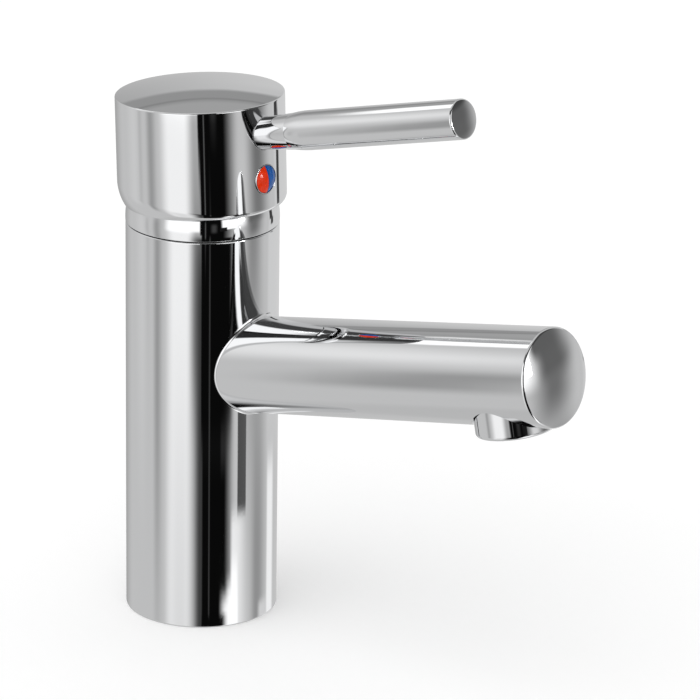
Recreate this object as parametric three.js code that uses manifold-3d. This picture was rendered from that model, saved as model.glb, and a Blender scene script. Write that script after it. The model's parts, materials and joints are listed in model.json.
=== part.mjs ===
// Single-lever basin mixer: a cylindrical body with a straight round spout, a tilting and turning
// head with a pin lever, a 35 mm ceramic cartridge inside, and an aerator under the spout tip.
// Millimetres, +Z up. The origin is on the body axis in the plane of the deck; the spout points to -Y.

import * as THREE from 'three';
import { mergeVertices } from 'three/addons/utils/BufferGeometryUtils.js';
import Module from 'manifold-3d';

const wasm = await Module();
wasm.setup();

// ---- Driving dimensions -------------------------------------------------------------------

// Clearances
const GAP = 0.3;               // between neighbouring pieces that do not share a flat face
const SNUG = 0.2;              // around seals and pressed pieces
const SKIRT_CLEARANCE = 0.25;  // between the collar's sphere and the head's skirt

// Body and spout
const BODY_WALL = 5.2;         // round the cartridge
const BODY_H = 122.2;
const BODY_BASE_CHAMFER = 0.6;
const BODY_TOP_CHAMFER = 0.3;
const SPOUT_R = 14.5;
const SPOUT_Z = 77.3;          // where the spout's axis crosses the body's axis
const SPOUT_RISE = THREE.MathUtils.degToRad(11.3);
const SPOUT_LENGTH = 134.9;    // along its axis, from the body's axis to the flat of its end
const SPOUT_END_ROUND = 1.8;
const SPOUT_END_CROWN = 0.5;   // bulge of the end face
const SPOUT_WALL = 4;
const SPOUT_THROAT_R = 6.2;    // waterway at both ends of the spout
const SPOUT_END_WALL = 8.9;
const THROAT_LENGTH = 21;
const CORE_TAPER = 3;          // length of the cones between throat and core

// Aerator, on an axis square to the spout's axis
const AERATOR_INSET = 16.7;    // from the spout's end to the aerator's axis
const AERATOR_R = 11.5;
const AERATOR_HOLE_GAP = 0.5;
const AERATOR_FACE = 16.5;     // from the spout's axis to the outlet face
const AERATOR_ROUND = 1.2;
const AERATOR_WALL = 1.6;
const AERATOR_LIP = 1.1;
const AERATOR_LIP_H = 1.5;
const AERATOR_SEAT = 6.3;      // from the spout's axis to the washer's seat
const AERATOR_WASHER_H = 1;
const AERATOR_PASSAGE_R = 9;
const AERATOR_SCREEN_H = 0.6;
const SCREEN_BAR = 0.9;
const SCREEN_HOLE = 2.1;
const INSERT_HOLE_R = 0.9;
const INSERT_RINGS = [[3, 6], [6.6, 12]];   // ring radius and number of holes

// Base
const INLET_SOCKET_R = 4.9;    // M10 x 1 sockets for the supply tails
const INLET_SOCKET_H = 16;
const INLET_SOCKET_X = 7.2;
const INLET_SOCKET_Y = 4;
const STUD_SOCKET_R = 3.4;     // M8 socket for the mounting stud
const STUD_SOCKET_H = 20;
const STUD_SOCKET_Y = -9;
const GASKET_INSET = 2.3;      // from the body's wall to the middle of the ring
const GASKET_W = 1.6;
const GASKET_H = 1.6;

// Cartridge
const CARTRIDGE_DEPTH = 29.2;  // from the body's top down to the floor of the cartridge bore
const CARTRIDGE_R = 17.5;
const CARTRIDGE_BASE_H = 3;
const CARTRIDGE_SPIGOT_H = 2;
const CARTRIDGE_WALL = 2.3;
const CARTRIDGE_SHOULDER = 3.4;   // thickness of the housing's top wall
const CARTRIDGE_NECK_H = 5.5;
const CARTRIDGE_NECK_WALL = 2.2;
const INLET_PORT_X = 5.9;
const INLET_PORT_Y = 2.5;
const OUTLET_PORT_Y = -6;
const PORT_R = 2.8;
const SLOT_W = 5.7;            // inlet slots in the discs' ports
const SLOT_H = 2.6;
const SEAL_BORE_R = 3.4;
const SEAL_R = 4.8;
const SEAL_H = 1.3;
const PEG_R = 1.5;
const PEG_H = 2;
const PEG_X = 12.5;
const PEG_Y = -5;
const FIXED_DISC_H = 3.5;
const MOVING_DISC_R = 12;
const MOVING_DISC_H = 3.5;
const MIXING_DEPTH = 1.6;
const CARRIER_R = 11;
const CARRIER_H = 5.5;
const CARRIER_HALF_W = 8.6;
const CARRIER_TAB = 2.4;
const CARRIER_TAB_H = 1;
const CARRIER_TAB_Y = 8.2;
const CARRIER_FORWARD = 2.8;   // disc's centre behind the stem's ball
const ROTOR_FLANGE_H = 4;
const ROTOR_NECK_R = 11;
const ROTOR_TOP_OVER_PIVOT = 3.8;
const ROTOR_RAIL_W = 3;
const ROTOR_RAIL_HALF_L = 7;
const LIMIT_RING_H = 2.5;
const LIMIT_RING_W = 2.1;
const LUG_HALF_W = 2;
const LUG_SPARE = THREE.MathUtils.degToRad(2.5);
const TURN_LIMIT = THREE.MathUtils.degToRad(45);
const ROTOR_RING_SECTION_R = 0.75;
const COLLAR_RING_SECTION_R = 0.85;

// Retaining nut and trim collar
const NUT_INSET = 4;           // from the body's wall to the nut's head
const NUT_TOP_OVER_BODY = 6.3;
const NUT_SLOT_W = 5;
const NUT_SLOT_H = 2.2;
const COLLAR_PROUD = 0.05;     // of the collar's sphere over the body's wall
const COLLAR_TOP_OVER_PIVOT = 4.6;

// Stem and pivot
const PIVOT_OVER_BODY = 3.3;
const PIN_R = 1.5;
const STEM_W = 8;
const STEM_TOP_OVER_PIVOT = 24.5;
const STEM_SQUARE_UNDER_PIVOT = 8.5;
const STEM_ARM = 16.8;         // from the pivot down to the ball's centre
const STEM_ROD_R = 2.6;
const STEM_BALL_R = 3;
const LIFT_REST = THREE.MathUtils.degToRad(2.05);   // the head leans back this far at rest
const LIFT_MAX = THREE.MathUtils.degToRad(18.05);   // full flow, measured from the upright head

// Head (heights as if the head stood upright)
const HEAD_WALL = 2;
const HEAD_OVER_BODY = 6.4;
const HEAD_H = 32.95;          // from the skirt's edge to the flat's edge, where the crown starts
const HEAD_CROWN = 1.9;
const HEAD_TOP_ROUND_W = 1.5;
const HEAD_TOP_ROUND_H = 2.2;
const SKIRT_ROUND_FRONT = [1.55, 1.9];   // inset and height of the rounding under the lever
const SKIRT_ROUND_REAR = [1.8, 8.1];     // and at the back, where the skirt dips when lifted
const HEAD_ROOF = 3;
const BRIDGE_HALF_W = 8;
const BRIDGE_UNDER = 8.8;      // underside of the bridge above the pivot
const BRIDGE_BACK = 8.5;
const SCREW_UP = 10.5;         // above the skirt's edge
const SCREW_R = 2.5;
const SCREW_LENGTH = 9;
const SCREW_HEX = 2.6;
const SCREW_HEX_DEPTH = 3;

// Index button on the axis of the set screw
const INDEX_R = 4.4;
const INDEX_RIM = 0.4;
const INDEX_DEPTH = 5;
const INDEX_BACK = 1.6;
const INDEX_PROUD = 0.25;      // rim in front of the head's wall
const INDEX_DOME = 0.9;

// Lever
const LEVER_UP = 18.9;         // above the skirt's edge, where its axis crosses the head's axis
const LEVER_PITCH = THREE.MathUtils.degToRad(12.4);
const LEVER_R = 5.85;
const LEVER_NECK_R = 4.7;
const LEVER_END = 101.8;       // along its axis from the head's axis
const LEVER_NECK_END = 36.5;
const LEVER_SHOULDER = 3;
const LEVER_END_ROUND = 0.8;
const LEVER_TAIL_R = 3;
const LEVER_TAIL_LENGTH = 15;
const LEVER_SUNK = 1.2;        // how far the neck reaches into the wall

// How far a cutting tool reaches past the face that it cuts
const PAST = 1;

// Facets
const ROUND = 56;
const MIDDLE = 36;
const BAR = 30;
const SMALL = 20;
const TINY = 8;
const HEXAGON = 6;
const RIM_STEPS = 6;           // along the head's roundings and crown
const EDGE_STEPS = 4;          // along a small rounding

// ---- Derived dimensions -------------------------------------------------------------------

const CARTRIDGE_BORE_R = CARTRIDGE_R + GAP;
const BODY_R = CARTRIDGE_BORE_R + BODY_WALL;
const AERATOR_AT = SPOUT_LENGTH - AERATOR_INSET;
const NUT_R = BODY_R - NUT_INSET;
const NUT_THREAD_R = NUT_R - SNUG;
const GASKET_R = BODY_R - GASKET_INSET;
const SEAT_Z = BODY_H - CARTRIDGE_DEPTH;
const PIVOT_Z = BODY_H + PIVOT_OVER_BODY;
const COLLAR_R = BODY_R + COLLAR_PROUD;
const SKIRT_BORE_R = COLLAR_R + SKIRT_CLEARANCE;
const HEAD_R = SKIRT_BORE_R + HEAD_WALL;
const HEAD_BOTTOM = BODY_H + HEAD_OVER_BODY;
const HEAD_RIM = HEAD_BOTTOM + HEAD_H;
const SCREW_Z = HEAD_BOTTOM + SCREW_UP;
const LEVER_Z = HEAD_BOTTOM + LEVER_UP;
const HOUSING_INNER_R = CARTRIDGE_R - CARTRIDGE_WALL;
const HOUSING_Z = SEAT_Z + CARTRIDGE_BASE_H;
const FIXED_DISC_Z = HOUSING_Z + CARTRIDGE_SPIGOT_H;
const FIXED_DISC_R = HOUSING_INNER_R - GAP;
const MOVING_DISC_Z = FIXED_DISC_Z + FIXED_DISC_H;
const CARRIER_Z = MOVING_DISC_Z + MOVING_DISC_H;
const ROTOR_Z = CARRIER_Z + CARRIER_H + GAP;
const ROTOR_FLANGE_R = HOUSING_INNER_R - GAP;
const ROTOR_NECK_Z = ROTOR_Z + ROTOR_FLANGE_H;
const ROTOR_TOP = PIVOT_Z + ROTOR_TOP_OVER_PIVOT;
const HOUSING_ROOF_Z = ROTOR_NECK_Z + GAP;
const HOUSING_TOP = HOUSING_ROOF_Z + CARTRIDGE_SHOULDER;
const NECK_TOP = HOUSING_TOP + CARTRIDGE_NECK_H;
const NECK_BORE_R = ROTOR_NECK_R + GAP;
const NECK_R = NECK_BORE_R + CARTRIDGE_NECK_WALL;
const NUT_BORE_R = NECK_R + GAP;
const NUT_TOP = BODY_H + NUT_TOP_OVER_BODY;
const COLLAR_BORE_R = NUT_R + GAP;
const COLLAR_TOP = PIVOT_Z + COLLAR_TOP_OVER_PIVOT;
const REST_SLIDE = STEM_ARM * Math.sin(LIFT_REST);
const SCREW_Y = STEM_W / 2 + GAP;
const INDEX_HOLE_R = INDEX_R + SNUG;
const LEVER_ROOT = HEAD_R / Math.cos(LEVER_PITCH) - LEVER_SUNK;

// ---- Solids -------------------------------------------------------------------------------

// A closed three.js geometry as a solid, with its faces pointing out.
function solid(geometry) {
  const bare = geometry.clone();
  bare.deleteAttribute('normal');
  bare.deleteAttribute('uv');
  const welded = mergeVertices(bare);
  const vertProperties = new Float32Array(welded.attributes.position.array);
  const corners = Array.from(welded.index.array);
  const at = (i) => new THREE.Vector3().fromArray(vertProperties, 3 * i);
  const triangles = [];
  let volume = 0;
  for (let i = 0; i < corners.length; i += 3) {
    const [a, b, c] = corners.slice(i, i + 3);
    if (a === b || b === c || c === a) continue;
    triangles.push([a, b, c]);
    volume += at(a).dot(at(b).cross(at(c)));
  }
  const outward = volume > 0 ? triangles : triangles.map(([a, b, c]) => [a, c, b]);
  const triVerts = new Uint32Array(outward.flat());
  return new wasm.Manifold(new wasm.Mesh({ numProp: 3, vertProperties, triVerts }));
}

function join(first, ...others) {
  return others.reduce((sum, next) => sum.add(next), first);
}

function cut(first, ...tools) {
  return tools.reduce((rest, tool) => rest.subtract(tool), first);
}

// A profile of [radius, height] points turned about the Z axis.
function turnedGeometry(profile, facets = MIDDLE) {
  const points = profile.map(([radius, height]) => new THREE.Vector2(radius, height));
  return new THREE.LatheGeometry(points, facets).rotateX(Math.PI / 2);
}

function turned(profile, facets = MIDDLE, place = new THREE.Matrix4()) {
  return solid(turnedGeometry(profile, facets).applyMatrix4(place));
}

function rod(radius, bottom, top, facets = MIDDLE, place = new THREE.Matrix4()) {
  const geometry = new THREE.CylinderGeometry(radius, radius, top - bottom, facets);
  geometry.rotateX(Math.PI / 2).translate(0, 0, (top + bottom) / 2);
  return solid(geometry.applyMatrix4(place));
}

function tube(inner, outer, bottom, top, facets = MIDDLE) {
  return turned([[inner, bottom], [outer, bottom], [outer, top], [inner, top], [inner, bottom]], facets);
}

function block([x0, x1], [y0, y1], [z0, z1]) {
  const geometry = new THREE.BoxGeometry(x1 - x0, y1 - y0, z1 - z0);
  return solid(geometry.translate((x0 + x1) / 2, (y0 + y1) / 2, (z0 + z1) / 2));
}

function plate(shape, bottom, top, place = new THREE.Matrix4()) {
  const options = { depth: top - bottom, bevelEnabled: false, curveSegments: SMALL / 2 };
  return solid(new THREE.ExtrudeGeometry(shape, options).translate(0, 0, bottom).applyMatrix4(place));
}

// A ring of round section, such as an O-ring.
function ring(radius, sectionRadius, height) {
  const profile = arc(radius, height, sectionRadius, 0, 2 * Math.PI, TINY);
  profile[TINY] = profile[0];
  return turned(profile);
}

// Points of an arc in a profile, from one angle to another, counted from the radius axis.
function arc(radius, height, arcRadius, from, to, steps) {
  return Array.from({ length: steps + 1 }, (_, i) => {
    const angle = from + ((to - from) * i) / steps;
    return [radius + arcRadius * Math.cos(angle), height + arcRadius * Math.sin(angle)];
  });
}

// A rectangle with round ends as wide as it is high.
function slotShape(width, height) {
  const reach = (width - height) / 2;
  const shape = new THREE.Shape();
  shape.absarc(reach, 0, height / 2, -Math.PI / 2, Math.PI / 2);
  shape.absarc(-reach, 0, height / 2, Math.PI / 2, 1.5 * Math.PI);
  return shape;
}

function polygonShape(points) {
  return new THREE.Shape(points.map(([x, y]) => new THREE.Vector2(x, y)));
}

function at(x, y, z) {
  return new THREE.Matrix4().makeTranslation(x, y, z);
}

// Places a solid drawn along +Z so that it runs to -Y from the Z axis at the given height, with a rise.
function alongFront(height, rise = 0) {
  return at(0, 0, height).multiply(new THREE.Matrix4().makeRotationX(Math.PI / 2 - rise));
}

// ---- Materials ----------------------------------------------------------------------------

function material(color, roughness, metalness) {
  return new THREE.MeshStandardMaterial({ color, roughness, metalness });
}

const chrome = material(0xd9dbde, 0.05, 1);
const brass = material(0xc9a45c, 0.35, 1);
const steel = material(0xb4b6b8, 0.3, 1);
const whitePlastic = material(0xe6e6e2, 0.45, 0);
const greyPlastic = material(0x8d9296, 0.5, 0);
const redPlastic = material(0xdc3219, 0.2, 0);
const bluePlastic = material(0x1e5aa5, 0.2, 0);
const ceramic = material(0xf3f2ee, 0.15, 0);
const rubber = material(0x1c1c1d, 0.8, 0);

function piece(name, shape, surface) {
  const { numProp, vertProperties, triVerts } = shape.getMesh();
  const geometry = new THREE.BufferGeometry();
  const positions = new THREE.InterleavedBuffer(vertProperties, numProp);
  geometry.setAttribute('position', new THREE.InterleavedBufferAttribute(positions, 3, 0));
  geometry.setIndex(new THREE.BufferAttribute(triVerts, 1));
  geometry.computeVertexNormals();
  const mesh = new THREE.Mesh(geometry, surface);
  mesh.name = name;
  return mesh;
}

function group(...children) {
  const assembly = new THREE.Group();
  assembly.add(...children);
  return assembly;
}

// ---- Body ---------------------------------------------------------------------------------

const spoutFrame = alongFront(SPOUT_Z, SPOUT_RISE);
const spoutDown = spoutFrame.clone()
  .multiply(at(0, 0, AERATOR_AT))
  .multiply(new THREE.Matrix4().makeRotationX(Math.PI / 2));

function spoutOutside() {
  const shoulder = SPOUT_LENGTH - SPOUT_END_ROUND;
  const edge = arc(SPOUT_R - SPOUT_END_ROUND, shoulder, SPOUT_END_ROUND, 0, Math.PI / 2, EDGE_STEPS);
  const tip = [0, SPOUT_LENGTH + SPOUT_END_CROWN];
  return turned([[0, 0], [SPOUT_R, 0], ...edge, tip], MIDDLE, spoutFrame);
}

function spoutWaterway() {
  const core = SPOUT_R - SPOUT_WALL;
  const start = SPOUT_THROAT_R * Math.sin(SPOUT_RISE) + PORT_R;
  const end = SPOUT_LENGTH - SPOUT_END_WALL;
  const profile = [
    [0, start],
    [SPOUT_THROAT_R, start],
    [SPOUT_THROAT_R, start + THROAT_LENGTH],
    [core, start + THROAT_LENGTH + CORE_TAPER],
    [core, end - THROAT_LENGTH - CORE_TAPER],
    [SPOUT_THROAT_R, end - THROAT_LENGTH],
    [SPOUT_THROAT_R, end],
    [0, end],
  ];
  return turned(profile, MIDDLE, spoutFrame);
}

function inletWaterway(side) {
  const socket = at(side * INLET_SOCKET_X, INLET_SOCKET_Y, 0);
  const port = at(side * INLET_PORT_X, INLET_PORT_Y, 0);
  return join(
    rod(INLET_SOCKET_R, -PAST, INLET_SOCKET_H, SMALL, socket),
    rod(PORT_R, INLET_SOCKET_H - PAST, SEAT_Z + PAST, SMALL, port),
  );
}

function bodyCasting() {
  const outside = turned([
    [0, 0],
    [BODY_R - BODY_BASE_CHAMFER, 0],
    [BODY_R, BODY_BASE_CHAMFER],
    [BODY_R, BODY_H - BODY_TOP_CHAMFER],
    [BODY_R - BODY_TOP_CHAMFER, BODY_H],
    [0, BODY_H],
  ], ROUND);
  const threadBottom = HOUSING_TOP - GAP;
  const bore = turned([
    [0, SEAT_Z],
    [CARTRIDGE_BORE_R, SEAT_Z],
    [CARTRIDGE_BORE_R, threadBottom],
    [NUT_THREAD_R + GAP, threadBottom],
    [NUT_THREAD_R + GAP, BODY_H + PAST],
    [0, BODY_H + PAST],
  ]);
  const groove = tube(
    GASKET_R - GASKET_W / 2 - SNUG,
    GASKET_R + GASKET_W / 2 + SNUG,
    -PAST,
    GASKET_H,
    ROUND,
  );
  const outletTop = SPOUT_Z - OUTLET_PORT_Y * Math.tan(SPOUT_RISE);
  const pegHoles = [-1, 1].map((side) =>
    rod(PEG_R + GAP, SEAT_Z - PEG_H - GAP, SEAT_Z + PAST, TINY, at(side * PEG_X, PEG_Y, 0)));
  return cut(
    join(outside, spoutOutside()),
    spoutWaterway(),
    rod(AERATOR_PASSAGE_R, -PAST, AERATOR_SEAT + PAST, MIDDLE, spoutDown),
    rod(AERATOR_R + AERATOR_HOLE_GAP, AERATOR_SEAT, SPOUT_R + PAST, MIDDLE, spoutDown),
    bore,
    rod(PORT_R, outletTop, SEAT_Z + PAST, SMALL, at(0, OUTLET_PORT_Y, 0)),
    inletWaterway(-1),
    inletWaterway(1),
    rod(STUD_SOCKET_R, -PAST, STUD_SOCKET_H, SMALL, at(0, STUD_SOCKET_Y, 0)),
    ...pegHoles,
    groove,
  );
}

function baseGasket() {
  return tube(GASKET_R - GASKET_W / 2, GASKET_R + GASKET_W / 2, 0, GASKET_H, ROUND);
}

// ---- Aerator, drawn along its own axis away from the spout's axis ---------------------------

const WASHER_TOP = AERATOR_SEAT + SNUG;
const AERATOR_BACK = WASHER_TOP + AERATOR_WASHER_H + GAP;
const AERATOR_BORE_R = AERATOR_R - AERATOR_WALL;
const SCREEN_TOP = AERATOR_BACK + GAP;
const INSERT_TOP = SCREEN_TOP + AERATOR_SCREEN_H + GAP;
const INSERT_END = AERATOR_FACE - AERATOR_LIP_H - GAP;

function aeratorHousing() {
  const edge = arc(AERATOR_R - AERATOR_ROUND, AERATOR_FACE - AERATOR_ROUND, AERATOR_ROUND,
    0, Math.PI / 2, EDGE_STEPS);
  return turned([
    [AERATOR_BORE_R, AERATOR_BACK],
    [AERATOR_R, AERATOR_BACK],
    ...edge,
    [AERATOR_BORE_R - AERATOR_LIP, AERATOR_FACE],
    [AERATOR_BORE_R - AERATOR_LIP, AERATOR_FACE - AERATOR_LIP_H],
    [AERATOR_BORE_R, AERATOR_FACE - AERATOR_LIP_H],
    [AERATOR_BORE_R, AERATOR_BACK],
  ]);
}

function aeratorWasher() {
  return tube(AERATOR_PASSAGE_R + SNUG, AERATOR_R, WASHER_TOP, WASHER_TOP + AERATOR_WASHER_H);
}

function aeratorScreen() {
  const radius = AERATOR_BORE_R - GAP;
  const pitch = SCREEN_BAR + SCREEN_HOLE;
  const reach = Math.floor(radius / pitch);
  const half = SCREEN_HOLE / 2;
  const holes = [];
  for (let i = -reach; i <= reach; i += 1) {
    for (let j = -reach; j <= reach; j += 1) {
      const corner = Math.hypot(Math.abs(i) * pitch + half, Math.abs(j) * pitch + half);
      if (corner > radius - SCREEN_BAR) continue;
      const across = [i * pitch - half, i * pitch + half];
      const along = [j * pitch - half, j * pitch + half];
      holes.push(block(across, along, [SCREEN_TOP - PAST, SCREEN_TOP + AERATOR_SCREEN_H + PAST]));
    }
  }
  return cut(rod(radius, SCREEN_TOP, SCREEN_TOP + AERATOR_SCREEN_H), ...holes);
}

function aeratorInsert() {
  const radius = AERATOR_BORE_R - GAP;
  const holes = [rod(INSERT_HOLE_R, INSERT_TOP - PAST, INSERT_END + PAST, TINY)];
  for (const [ringRadius, count] of INSERT_RINGS) {
    for (let i = 0; i < count; i += 1) {
      const angle = (2 * Math.PI * i) / count;
      const place = at(ringRadius * Math.cos(angle), ringRadius * Math.sin(angle), 0);
      holes.push(rod(INSERT_HOLE_R, INSERT_TOP - PAST, INSERT_END + PAST, TINY, place));
    }
  }
  return cut(rod(radius, INSERT_TOP, INSERT_END), ...holes);
}

// ---- Cartridge ----------------------------------------------------------------------------

function inletSlots(bottom, top) {
  const shape = slotShape(SLOT_W, SLOT_H);
  return [-1, 1].map((side) => plate(shape, bottom, top, at(side * INLET_PORT_X, INLET_PORT_Y, 0)));
}

function outletPort(bottom, top) {
  return rod(PORT_R, bottom, top, SMALL, at(0, OUTLET_PORT_Y, 0));
}

function portPlaces() {
  return [[-INLET_PORT_X, INLET_PORT_Y], [INLET_PORT_X, INLET_PORT_Y], [0, OUTLET_PORT_Y]];
}

function cartridgeBase() {
  const pegs = [-1, 1].map((side) =>
    rod(PEG_R, SEAT_Z - PEG_H, SEAT_Z + PAST, TINY, at(side * PEG_X, PEG_Y, 0)));
  const recesses = portPlaces().map(([x, y]) =>
    rod(SEAL_R + SNUG, SEAT_Z - PAST, SEAT_Z + SEAL_H + GAP, SMALL, at(x, y, 0)));
  return cut(
    join(
      rod(CARTRIDGE_R, SEAT_Z, HOUSING_Z),
      rod(HOUSING_INNER_R - GAP, SEAT_Z + PAST, FIXED_DISC_Z),
      ...pegs,
    ),
    ...recesses,
    ...inletSlots(SEAT_Z, FIXED_DISC_Z + PAST),
    outletPort(SEAT_Z, FIXED_DISC_Z + PAST),
  );
}

function portSeal([x, y]) {
  return cut(
    rod(SEAL_R, SEAT_Z, SEAT_Z + SEAL_H, SMALL, at(x, y, 0)),
    rod(SEAL_BORE_R, SEAT_Z - PAST, SEAT_Z + SEAL_H + PAST, SMALL, at(x, y, 0)),
  );
}

function cartridgeHousing() {
  return turned([
    [HOUSING_INNER_R, HOUSING_Z],
    [CARTRIDGE_R, HOUSING_Z],
    [CARTRIDGE_R, HOUSING_TOP],
    [NECK_R, HOUSING_TOP],
    [NECK_R, NECK_TOP],
    [NECK_BORE_R, NECK_TOP],
    [NECK_BORE_R, HOUSING_ROOF_Z],
    [HOUSING_INNER_R, HOUSING_ROOF_Z],
    [HOUSING_INNER_R, HOUSING_Z],
  ]);
}

function fixedDisc() {
  return cut(
    rod(FIXED_DISC_R, FIXED_DISC_Z, MOVING_DISC_Z),
    ...inletSlots(FIXED_DISC_Z - PAST, MOVING_DISC_Z + PAST),
    outletPort(FIXED_DISC_Z - PAST, MOVING_DISC_Z + PAST),
  );
}

// The mixing chamber leaves the inlets covered when the lever is down and meets them when it is lifted.
function movingDisc() {
  const travel = STEM_ARM * Math.sin(LIFT_MAX);
  const chamberFront = INLET_PORT_Y + SLOT_H / 2 - travel / 2 + SNUG;
  const chamberBack = chamberFront + travel;
  const chamberHalf = INLET_PORT_X + SLOT_W / 2;
  const throatHalf = INLET_PORT_X - SLOT_W / 2 - 2 * SNUG;
  const throatFront = OUTLET_PORT_Y - SNUG;
  const chamber = polygonShape([
    [-throatHalf, throatFront],
    [throatHalf, throatFront],
    [throatHalf, chamberFront],
    [chamberHalf, chamberFront],
    [chamberHalf, chamberBack],
    [-chamberHalf, chamberBack],
    [-chamberHalf, chamberFront],
    [-throatHalf, chamberFront],
  ]);
  const tabs = carrierTabs(CARRIER_TAB / 2 + SNUG, CARRIER_TAB_H + GAP);
  return cut(
    rod(MOVING_DISC_R, MOVING_DISC_Z, CARRIER_Z),
    plate(chamber, MOVING_DISC_Z - PAST, MOVING_DISC_Z + MIXING_DEPTH),
    ...tabs,
  );
}

function carrierTabs(half, depth) {
  return [-1, 1].map((side) => block(
    [-half, half],
    [side * CARRIER_TAB_Y - half, side * CARRIER_TAB_Y + half],
    [CARRIER_Z - depth, CARRIER_Z + PAST],
  ));
}

function discCarrier() {
  const flats = block(
    [-CARRIER_HALF_W, CARRIER_HALF_W],
    [-CARRIER_R, CARRIER_R],
    [CARRIER_Z, CARRIER_Z + CARRIER_H],
  );
  const socket = rod(STEM_BALL_R + GAP, CARRIER_Z - PAST, CARRIER_Z + CARRIER_H + PAST, SMALL,
    at(0, -CARRIER_FORWARD, 0));
  const floor = rod(CARRIER_HALF_W, CARRIER_Z, CARRIER_Z + 2 * SNUG);
  const grip = rod(CARRIER_R, CARRIER_Z, CARRIER_Z + CARRIER_H).intersect(flats);
  return join(cut(grip, socket), floor, ...carrierTabs(CARRIER_TAB / 2, CARRIER_TAB_H));
}

// Where the stem passes through the rotor: its outline at both ends of the lift, with clearance.
function stemPassage() {
  const half = STEM_W / 2 + GAP;
  const rodHalf = STEM_ROD_R + GAP;
  const above = ROTOR_TOP_OVER_PIVOT + PAST;
  const below = PIVOT_Z - ROTOR_Z + PAST;
  const lean = Math.tan(LIFT_MAX);
  const wide = half / Math.cos(LIFT_MAX);
  const outline = polygonShape([
    [-half, above],
    [wide + above * lean, above],
    [wide, 0],
    [half, -STEM_SQUARE_UNDER_PIVOT - GAP],
    [rodHalf + GAP, -STEM_SQUARE_UNDER_PIVOT - 2 * GAP],
    [rodHalf, -below],
    [-rodHalf / Math.cos(LIFT_MAX) - below * lean, -below],
    [-wide - STEM_SQUARE_UNDER_PIVOT * lean, -STEM_SQUARE_UNDER_PIVOT],
    [-wide, 0],
  ]);
  const upright = new THREE.Matrix4().makeBasis(
    new THREE.Vector3(0, 1, 0),
    new THREE.Vector3(0, 0, 1),
    new THREE.Vector3(1, 0, 0),
  );
  return plate(outline, -half, half, at(0, 0, PIVOT_Z).multiply(upright));
}

function acrossPivot(radius, halfLength) {
  const sideways = at(0, 0, PIVOT_Z).multiply(new THREE.Matrix4().makeRotationY(Math.PI / 2));
  return rod(radius, -halfLength, halfLength, SMALL, sideways);
}

function rotor() {
  const railInner = CARRIER_HALF_W + GAP;
  const railBottom = CARRIER_Z + CARRIER_TAB_H;
  const rails = [-1, 1].map((side) => block(
    side > 0 ? [railInner, railInner + ROTOR_RAIL_W] : [-railInner - ROTOR_RAIL_W, -railInner],
    [-ROTOR_RAIL_HALF_L, ROTOR_RAIL_HALF_L],
    [railBottom, ROTOR_Z + PAST],
  ));
  const lug = block(
    [-LUG_HALF_W, LUG_HALF_W],
    [ROTOR_NECK_R - PAST, NECK_BORE_R + LIMIT_RING_W - GAP],
    [NECK_TOP + GAP, NECK_TOP + LIMIT_RING_H],
  );
  const ringZ = (HOUSING_TOP + NECK_TOP) / 2;
  const ringFloor = ROTOR_NECK_R - 2 * ROTOR_RING_SECTION_R - SNUG;
  const grooveHalf = ROTOR_RING_SECTION_R + SNUG;
  return cut(
    join(
      rod(ROTOR_FLANGE_R, ROTOR_Z, ROTOR_NECK_Z),
      rod(ROTOR_NECK_R, ROTOR_NECK_Z - PAST, ROTOR_TOP),
      ...rails,
      lug,
    ),
    stemPassage(),
    acrossPivot(PIN_R + SNUG, ROTOR_NECK_R + PAST),
    tube(ringFloor, ROTOR_NECK_R + PAST, ringZ - grooveHalf, ringZ + grooveHalf),
  );
}

function rotorSeal() {
  const radius = ROTOR_NECK_R - ROTOR_RING_SECTION_R + SNUG / 2;
  return ring(radius, ROTOR_RING_SECTION_R, (HOUSING_TOP + NECK_TOP) / 2);
}

function limitRing() {
  const middle = NECK_BORE_R + LIMIT_RING_W / 2;
  const open = TURN_LIMIT + Math.asin(LUG_HALF_W / middle) + LUG_SPARE;
  const rear = Math.PI / 2;
  const shape = new THREE.Shape();
  shape.absarc(0, 0, NECK_BORE_R + LIMIT_RING_W, rear + open, rear - open + 2 * Math.PI);
  shape.absarc(0, 0, NECK_BORE_R, rear - open, rear + open - 2 * Math.PI, true);
  return plate(shape, NECK_TOP, NECK_TOP + LIMIT_RING_H);
}

function retainingNut() {
  const ringHalf = COLLAR_RING_SECTION_R + SNUG;
  const ringZ = (BODY_H + NUT_TOP) / 2;
  const grooveFloor = NUT_R - 2 * COLLAR_RING_SECTION_R - SNUG;
  const shell = turned([
    [NUT_BORE_R, HOUSING_TOP],
    [NUT_THREAD_R, HOUSING_TOP],
    [NUT_THREAD_R, BODY_H],
    [NUT_R, BODY_H + SNUG],
    [NUT_R, ringZ - ringHalf],
    [grooveFloor, ringZ - ringHalf],
    [grooveFloor, ringZ + ringHalf],
    [NUT_R, ringZ + ringHalf],
    [NUT_R, NUT_TOP],
    [NUT_BORE_R, NUT_TOP],
    [NUT_BORE_R, HOUSING_TOP],
  ]);
  const half = NUT_SLOT_W / 2;
  const depth = [NUT_TOP - NUT_SLOT_H, NUT_TOP + PAST];
  const reach = [-NUT_R - PAST, NUT_R + PAST];
  return cut(shell, block([-half, half], reach, depth), block(reach, [-half, half], depth));
}

function collarRing() {
  const bottomAngle = Math.asin((BODY_H - PIVOT_Z) / COLLAR_R);
  const topAngle = Math.asin((COLLAR_TOP - PIVOT_Z) / COLLAR_R);
  const outside = arc(0, PIVOT_Z, COLLAR_R, bottomAngle, topAngle, TINY);
  return turned([
    [COLLAR_BORE_R, BODY_H],
    ...outside,
    [COLLAR_BORE_R, COLLAR_TOP],
    [COLLAR_BORE_R, BODY_H],
  ], ROUND);
}

function collarSeal() {
  const radius = NUT_R - COLLAR_RING_SECTION_R + SNUG / 2;
  return ring(radius, COLLAR_RING_SECTION_R, (BODY_H + NUT_TOP) / 2);
}

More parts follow.
